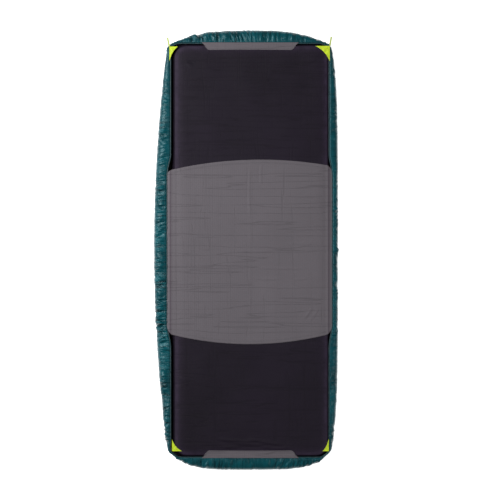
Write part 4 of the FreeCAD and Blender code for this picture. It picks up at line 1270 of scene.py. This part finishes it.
def pocket_outline(spec, across, deep):
    """Plan grid of a corner pocket, in rows from its sewn corner to its hollowed free edge."""
    corner = np.array(spec["corner"])
    end_leg = corner + np.array([spec["inward"][0] * spec["legs"][0], 0.0])
    side_leg = corner + np.array([0.0, spec["inward"][1] * spec["legs"][1]])
    waist = (end_leg + side_leg) / 2.0 * POCKET_WAIST + corner * (1.0 - POCKET_WAIST)
    share = np.linspace(0.0, 1.0, across)
    control = 2.0 * waist - (end_leg + side_leg) / 2.0
    free = ((1 - share) ** 2)[:, None] * end_leg + (2 * share * (1 - share))[:, None] * control
    free = free + (share ** 2)[:, None] * side_leg
    depth = np.linspace(0.0, 1.0, deep)[1:]
    return corner, corner + depth[:, None, None] * (free - corner)[None, :, :]


def make_pocket(place):
    """Lime stretch pocket over a corner of the pad, sewn along two legs."""
    sizes = settings("cover")
    spec = POCKETS[place]
    across, deep = POCKET_GRID
    corner, plan = pocket_outline(spec, across, deep)
    x, y = plan[..., 0], plan[..., 1]
    share = np.linspace(0.0, 1.0, across)[None, :]
    depth = np.linspace(0.0, 1.0, deep)[1:, None]
    base = SKIRT_TOP + 0.0014
    pulls = 0.0007 * np.sin(share * 17.0 + 1.0) * depth + 0.0004 * np.sin(share * 31.0) * depth
    belly = 0.0016 * np.sin(math.pi * share) * depth
    height = np.maximum(base + belly + pulls * np.sin(math.pi * share), face_height(x, y) + 0.0014)
    points = np.concatenate([[[corner[0], corner[1], base]], np.stack([x, y, height], axis=-1).reshape(-1, 3)])
    faces = [[0, 1 + k, 2 + k] for k in range(across - 1)]
    quads = grid_faces(deep - 1, across) + 1
    faces += [list(quad) for quad in quads]
    pocket = mesh_object("corner_pocket_%s_panel" % place, points, faces, lime_stretch())
    if sum(polygon.normal.z for polygon in pocket.data.polygons) < 0.0:
        pocket.data.flip_normals()
    thicken(pocket, sizes.panel)
    inward = np.array(spec["inward"]) / math.sqrt(2.0)
    start = corner + inward * 0.002
    end = corner + inward * 0.012
    body = "corner_pocket_" + place
    settle_across(pocket, body, "stretch_lime", (start[0], start[1], base), (end[0], end[1], base), body)


def make_pull_tab(place):
    """Loop of narrow webbing: out on the lower layer, round the end and back on the upper one."""
    corner = np.array(POCKETS[place]["corner"])
    way = np.array(PULL_TABS[place])
    way = way / np.linalg.norm(way)
    aside = np.array([-way[1], way[0]])
    half_width, tape, gap = 0.0043, 0.0008, 0.0006
    run = np.linspace(0.001, PULL_LENGTH - 0.003, 24)
    turn = np.linspace(-math.pi / 2, math.pi / 2, 9)[1:-1]
    middle = tape / 2.0 + gap / 2.0
    spread = 0.4 + 1.3 * smooth_step(run / 0.03)
    lower = np.stack([run, -middle * spread], axis=1)
    upper = np.stack([run, middle * spread], axis=1)[::-1]
    bend_out = run[-1] + middle * spread[-1] * 1.3 * np.cos(turn)
    bend = np.stack([bend_out, middle * spread[-1] * np.sin(turn)], axis=1)
    path = np.concatenate([lower, bend, upper])
    sag = -0.0045 * (path[:, 0] / PULL_LENGTH) ** 2
    level = SKIRT_TOP + 0.0026
    across = np.linspace(-half_width, half_width, 7)
    points = np.zeros((len(path), len(across), 3))
    for column, (out, up) in enumerate(path):
        centre = corner + way * out
        points[column, :, :2] = centre + aside[None, :] * across[:, None]
        points[column, :, 2] = level + up + sag[column] + 0.0006 * (across / half_width) ** 2
    tab = grid_object("pull_tab_%s_loop" % place, points, lime_webbing(), cloth_places(points))
    thicken(tab, tape, offset=0.0)
    start = corner + way * 0.003
    end = corner + way * 0.011
    body = "pull_tab_" + place
    settle_across(tab, body, "webbing_lime", (start[0], start[1], level), (end[0], end[1], level), body)


# ------------------------------------------------------------------ stitching

def stitch_tree():
    """Geometry nodes: a stitch laid along every run of edges at an even pitch."""
    tree = bpy.data.node_groups.new("stitch_rows", "GeometryNodeTree")
    face = tree.interface
    face.new_socket("Geometry", in_out="INPUT", socket_type="NodeSocketGeometry")
    for name, value in (("Pitch", 0.0065), ("Length", 0.0046), ("Thickness", 0.0007)):
        socket = face.new_socket(name, in_out="INPUT", socket_type="NodeSocketFloat")
        socket.default_value = value
    face.new_socket("Thread", in_out="INPUT", socket_type="NodeSocketMaterial")
    face.new_socket("Geometry", in_out="OUTPUT", socket_type="NodeSocketGeometry")

    def add(kind, **settings_):
        node = tree.nodes.new(kind)
        for key, value in settings_.items():
            setattr(node, key, value)
        return node

    def join(source, target):
        tree.links.new(source, target)

    inputs, outputs = add("NodeGroupInput"), add("NodeGroupOutput")
    curve = add("GeometryNodeMeshToCurve")
    even = add("GeometryNodeResampleCurve", mode="LENGTH")
    bead = add("GeometryNodeMeshUVSphere")
    bead.inputs["Segments"].default_value = 6
    bead.inputs["Rings"].default_value = 5
    bead.inputs["Radius"].default_value = 0.5
    size = add("ShaderNodeCombineXYZ")
    shaped = add("GeometryNodeTransform")
    tangent = add("GeometryNodeInputTangent")
    turn = add("FunctionNodeAlignEulerToVector", axis="X")
    lay = add("GeometryNodeInstanceOnPoints")
    real = add("GeometryNodeRealizeInstances")
    smooth = add("GeometryNodeSetShadeSmooth")
    finish = add("GeometryNodeSetMaterial")
    join(inputs.outputs["Geometry"], curve.inputs[0])
    join(curve.outputs[0], even.inputs["Curve"])
    join(inputs.outputs["Pitch"], even.inputs["Length"])
    join(inputs.outputs["Length"], size.inputs[0])
    join(inputs.outputs["Thickness"], size.inputs[1])
    join(inputs.outputs["Thickness"], size.inputs[2])
    join(bead.outputs["Mesh"], shaped.inputs["Geometry"])
    join(size.outputs[0], shaped.inputs["Scale"])
    join(tangent.outputs[0], turn.inputs["Vector"])
    join(even.outputs[0], lay.inputs["Points"])
    join(shaped.outputs[0], lay.inputs["Instance"])
    join(turn.outputs[0], lay.inputs["Rotation"])
    join(lay.outputs[0], real.inputs[0])
    join(real.outputs[0], smooth.inputs[0])
    join(smooth.outputs[0], finish.inputs["Geometry"])
    join(inputs.outputs["Thread"], finish.inputs["Material"])
    join(finish.outputs[0], outputs.inputs[0])
    return tree


def stitched(name, lines, stitch, thread):
    """Lay stitches of that pitch, length and thickness along a list of lines, as one plain mesh."""
    tree = bpy.data.node_groups.get("stitch_rows") or stitch_tree()
    points = np.concatenate(lines)
    edges, first = [], 0
    for line in lines:
        edges += [(first + k, first + k + 1) for k in range(len(line) - 1)]
        first += len(line)
    mesh = bpy.data.meshes.new(name + "_lines")
    mesh.from_pydata(points.tolist(), edges, [])
    guide = bpy.data.objects.new(name + "_lines", mesh)
    bpy.context.scene.collection.objects.link(guide)
    modifier = guide.modifiers.new("stitches", "NODES")
    modifier.node_group = tree
    values = dict(zip(("Pitch", "Length", "Thickness"), stitch), Thread=thread)
    for item in tree.interface.items_tree:
        if item.in_out == "INPUT" and item.name in values:
            modifier[item.identifier] = values[item.name]
    graph = bpy.context.evaluated_depsgraph_get()
    made = bpy.data.meshes.new_from_object(guide.evaluated_get(graph), depsgraph=graph)
    made.name = name
    guide.modifiers.remove(modifier)
    bpy.data.objects.remove(guide)
    piece = bpy.data.objects.new(name, made)
    bpy.context.scene.collection.objects.link(piece)
    return piece


def make_stitching():
    """Thread along the hems, the sleeve's turned ends, the tabs and the pockets."""
    sizes = settings("cover")
    colours = settings("colours")
    teal_thread = thread_finish("teal_thread", *colours.thread)
    grey_thread = thread_finish("grey_thread", 0.050, 0.046, 0.055)
    lime_thread = thread_finish("lime_thread", 0.30, 0.42, 0.02)
    rows = []
    for side in RING_ORDER:
        grid = piece_points("skirt_%s_cloth" % side).reshape(-1, sizes.rows, 3)
        rows.append(raised(grid[:, 2] * 0.9 + grid[:, 1] * 0.1, 0.0003))
    settle(stitched("hem_stitches", rows, (sizes.stitch,) + HEM_STITCH, teal_thread), ROOT, "cover_nylon")

    x_line = np.linspace(SLEEVE_LOW.x + 0.034, SLEEVE_HIGH.x - 0.034, 300)
    rows = []
    for end, sign in (("head", -1.0), ("foot", 1.0)):
        for back in (0.0135, 0.0165):
            y_line = sleeve_edge(x_line, end) + sign * back
            height = panel_height(x_line, y_line) + 0.0006 + crease_relief(x_line, y_line, SLEEVE_CREASES)
            rows.append(np.stack([x_line, y_line, height], axis=1))
    settle(stitched("sleeve_stitches", rows, PANEL_STITCH, grey_thread), ROOT, "stretch_grey")
    make_tab_stitches("head", grey_thread)
    make_tab_stitches("foot", grey_thread)
    for place in POCKETS:
        make_pocket_stitches(place, lime_thread)


def piece_points(name):
    """The vertices of a piece, before its thickness is added."""
    piece = bpy.data.objects[name]
    points = np.zeros(len(piece.data.vertices) * 3)
    piece.data.vertices.foreach_get("co", points)
    return points.reshape(-1, 3)


def raised(row, lift):
    """Lift a row of points off its cloth by about half a thread."""
    return row + np.array([0.0, 0.0, lift])


def make_tab_stitches(end, thread):
    """One row along a tab's turned free edge, which lifts with the tab."""
    grid = piece_points(end + "_tab_panel").reshape(TAB_GRID + (3,))
    row = raised(grid[2:-2, 12] * 0.5 + grid[2:-2, 13] * 0.5, 0.0002)
    stitches = stitched(end + "_tab_stitches", [row], PANEL_STITCH, thread)
    settle(stitches, end + "_tab", "stretch_grey")


def make_pocket_stitches(place, thread):
    """Stitches along a pocket's hollowed free edge."""
    across, deep = POCKET_GRID
    grid = piece_points("corner_pocket_%s_panel" % place)[1:].reshape(deep - 1, across, 3)
    row = raised(grid[-4, 3:-3], 0.0002)
    stitches = stitched("corner_pocket_%s_stitches" % place, [row], POCKET_STITCH, thread)
    settle(stitches, "corner_pocket_" + place, "stretch_lime")


# ------------------------------------------------------------------ finishes of the frame's own parts

def finish_frame_parts():
    """Give every part that still shows as it was packed its own procedural finish."""
    housing = moulded("valve_plastic", (0.018, 0.018, 0.020), 0.42, 1400.0, Specular_IOR_Level=0.45)
    cap = moulded("cap_plastic", (0.040, 0.041, 0.045), 0.36, 1200.0, Specular_IOR_Level=0.5)
    rubber = moulded("valve_rubber", (0.030, 0.029, 0.030), 0.62, 1800.0, Specular_IOR_Level=0.3)
    finishes = {"housing": housing, "guard": housing, "cap": cap, "gasket": rubber, "flap": rubber,
                "pin": steel_pin(), "core": open_foam(), "lining": lining_nylon()}
    for name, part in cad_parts.items():
        material = finishes.get(name.split("_")[-1])
        if material is None or part.hide_render:
            continue
        if not part.material_slots:
            part.data.materials.append(material)
        for slot in part.material_slots:
            slot.material = material


# ------------------------------------------------------------------ operators and panel

class StageOperator(bpy.types.Operator):
    """Make the camera, the lights and the floor"""
    bl_idname = "sleeping_pad.stage"
    bl_label = "Stage"

    def execute(self, context):
        make_stage()
        return {"FINISHED"}


class PadOperator(bpy.types.Operator):
    """Make the inflated pad's shell"""
    bl_idname = "sleeping_pad.pad"
    bl_label = "Pad"

    def execute(self, context):
        make_pad()
        return {"FINISHED"}


class BaseOperator(bpy.types.Operator):
    """Make the cover's quilted base"""
    bl_idname = "sleeping_pad.base"
    bl_label = "Cover base"

    def execute(self, context):
        make_base()
        return {"FINISHED"}


class HemsOperator(bpy.types.Operator):
    """Make the rolled hems over the elastic"""
    bl_idname = "sleeping_pad.hems"
    bl_label = "Hems"

    def execute(self, context):
        make_hem_casings()
        return {"FINISHED"}


class SkirtsOperator(bpy.types.Operator):
    """Gather, settle and cut the four skirts"""
    bl_idname = "sleeping_pad.skirts"
    bl_label = "Skirts"

    def execute(self, context):
        make_skirts()
        return {"FINISHED"}


class SleeveOperator(bpy.types.Operator):
    """Draw the centre sleeve over the pad"""
    bl_idname = "sleeping_pad.sleeve"
    bl_label = "Centre sleeve"

    def execute(self, context):
        make_sleeve()
        return {"FINISHED"}


class TabsOperator(bpy.types.Operator):
    """Make the end tabs and the pull tabs"""
    bl_idname = "sleeping_pad.tabs"
    bl_label = "Tabs"

    def execute(self, context):
        make_end_tab("head")
        make_end_tab("foot")
        for place in PULL_TABS:
            make_pull_tab(place)
        return {"FINISHED"}


class PocketsOperator(bpy.types.Operator):
    """Make the four corner pockets"""
    bl_idname = "sleeping_pad.pockets"
    bl_label = "Corner pockets"

    def execute(self, context):
        for place in POCKETS:
            make_pocket(place)
        return {"FINISHED"}


class StitchingOperator(bpy.types.Operator):
    """Lay the rows of stitches"""
    bl_idname = "sleeping_pad.stitching"
    bl_label = "Stitching"

    def execute(self, context):
        make_stitching()
        return {"FINISHED"}


class FinishesOperator(bpy.types.Operator):
    """Finish the valves, the foam and the lining"""
    bl_idname = "sleeping_pad.finishes"
    bl_label = "Part finishes"

    def execute(self, context):
        finish_frame_parts()
        return {"FINISHED"}


# The hems are made before the skirts
STEPS = (StageOperator, PadOperator, BaseOperator, HemsOperator, SkirtsOperator, SleeveOperator,
         TabsOperator, PocketsOperator, StitchingOperator, FinishesOperator)
GROUPS = {"pad": PadSizes, "cover": CoverSizes, "colours": Colours, "stage": StageSizes}


class SleepingPadPanel(bpy.types.Panel):
    """Sizes, colours and steps of the sleeping pad"""
    bl_idname = "VIEW3D_PT_sleeping_pad"
    bl_label = "Sleeping Pad"
    bl_space_type = "VIEW_3D"
    bl_region_type = "UI"
    bl_category = "Sleeping Pad"

    def draw(self, context):
        for group in GROUPS:
            box = self.layout.box()
            values = settings(group)
            for key in GROUPS[group].__annotations__:
                box.prop(values, key)
        for step in STEPS:
            self.layout.operator(step.bl_idname)


def register():
    for group, kind in GROUPS.items():
        bpy.utils.register_class(kind)
        setattr(bpy.types.Scene, "sleeping_pad_" + group, PointerProperty(type=kind))
    for kind in STEPS + (SleepingPadPanel,):
        bpy.utils.register_class(kind)


def unregister():
    for kind in (SleepingPadPanel,) + STEPS[::-1]:
        bpy.utils.unregister_class(kind)
    for group, kind in GROUPS.items():
        delattr(bpy.types.Scene, "sleeping_pad_" + group)
        bpy.utils.unregister_class(kind)


def main():
    register()
    for step in STEPS:
        family, action = step.bl_idname.split(".")
        getattr(getattr(bpy.ops, family), action)()


if __name__ == "__main__":
    main()
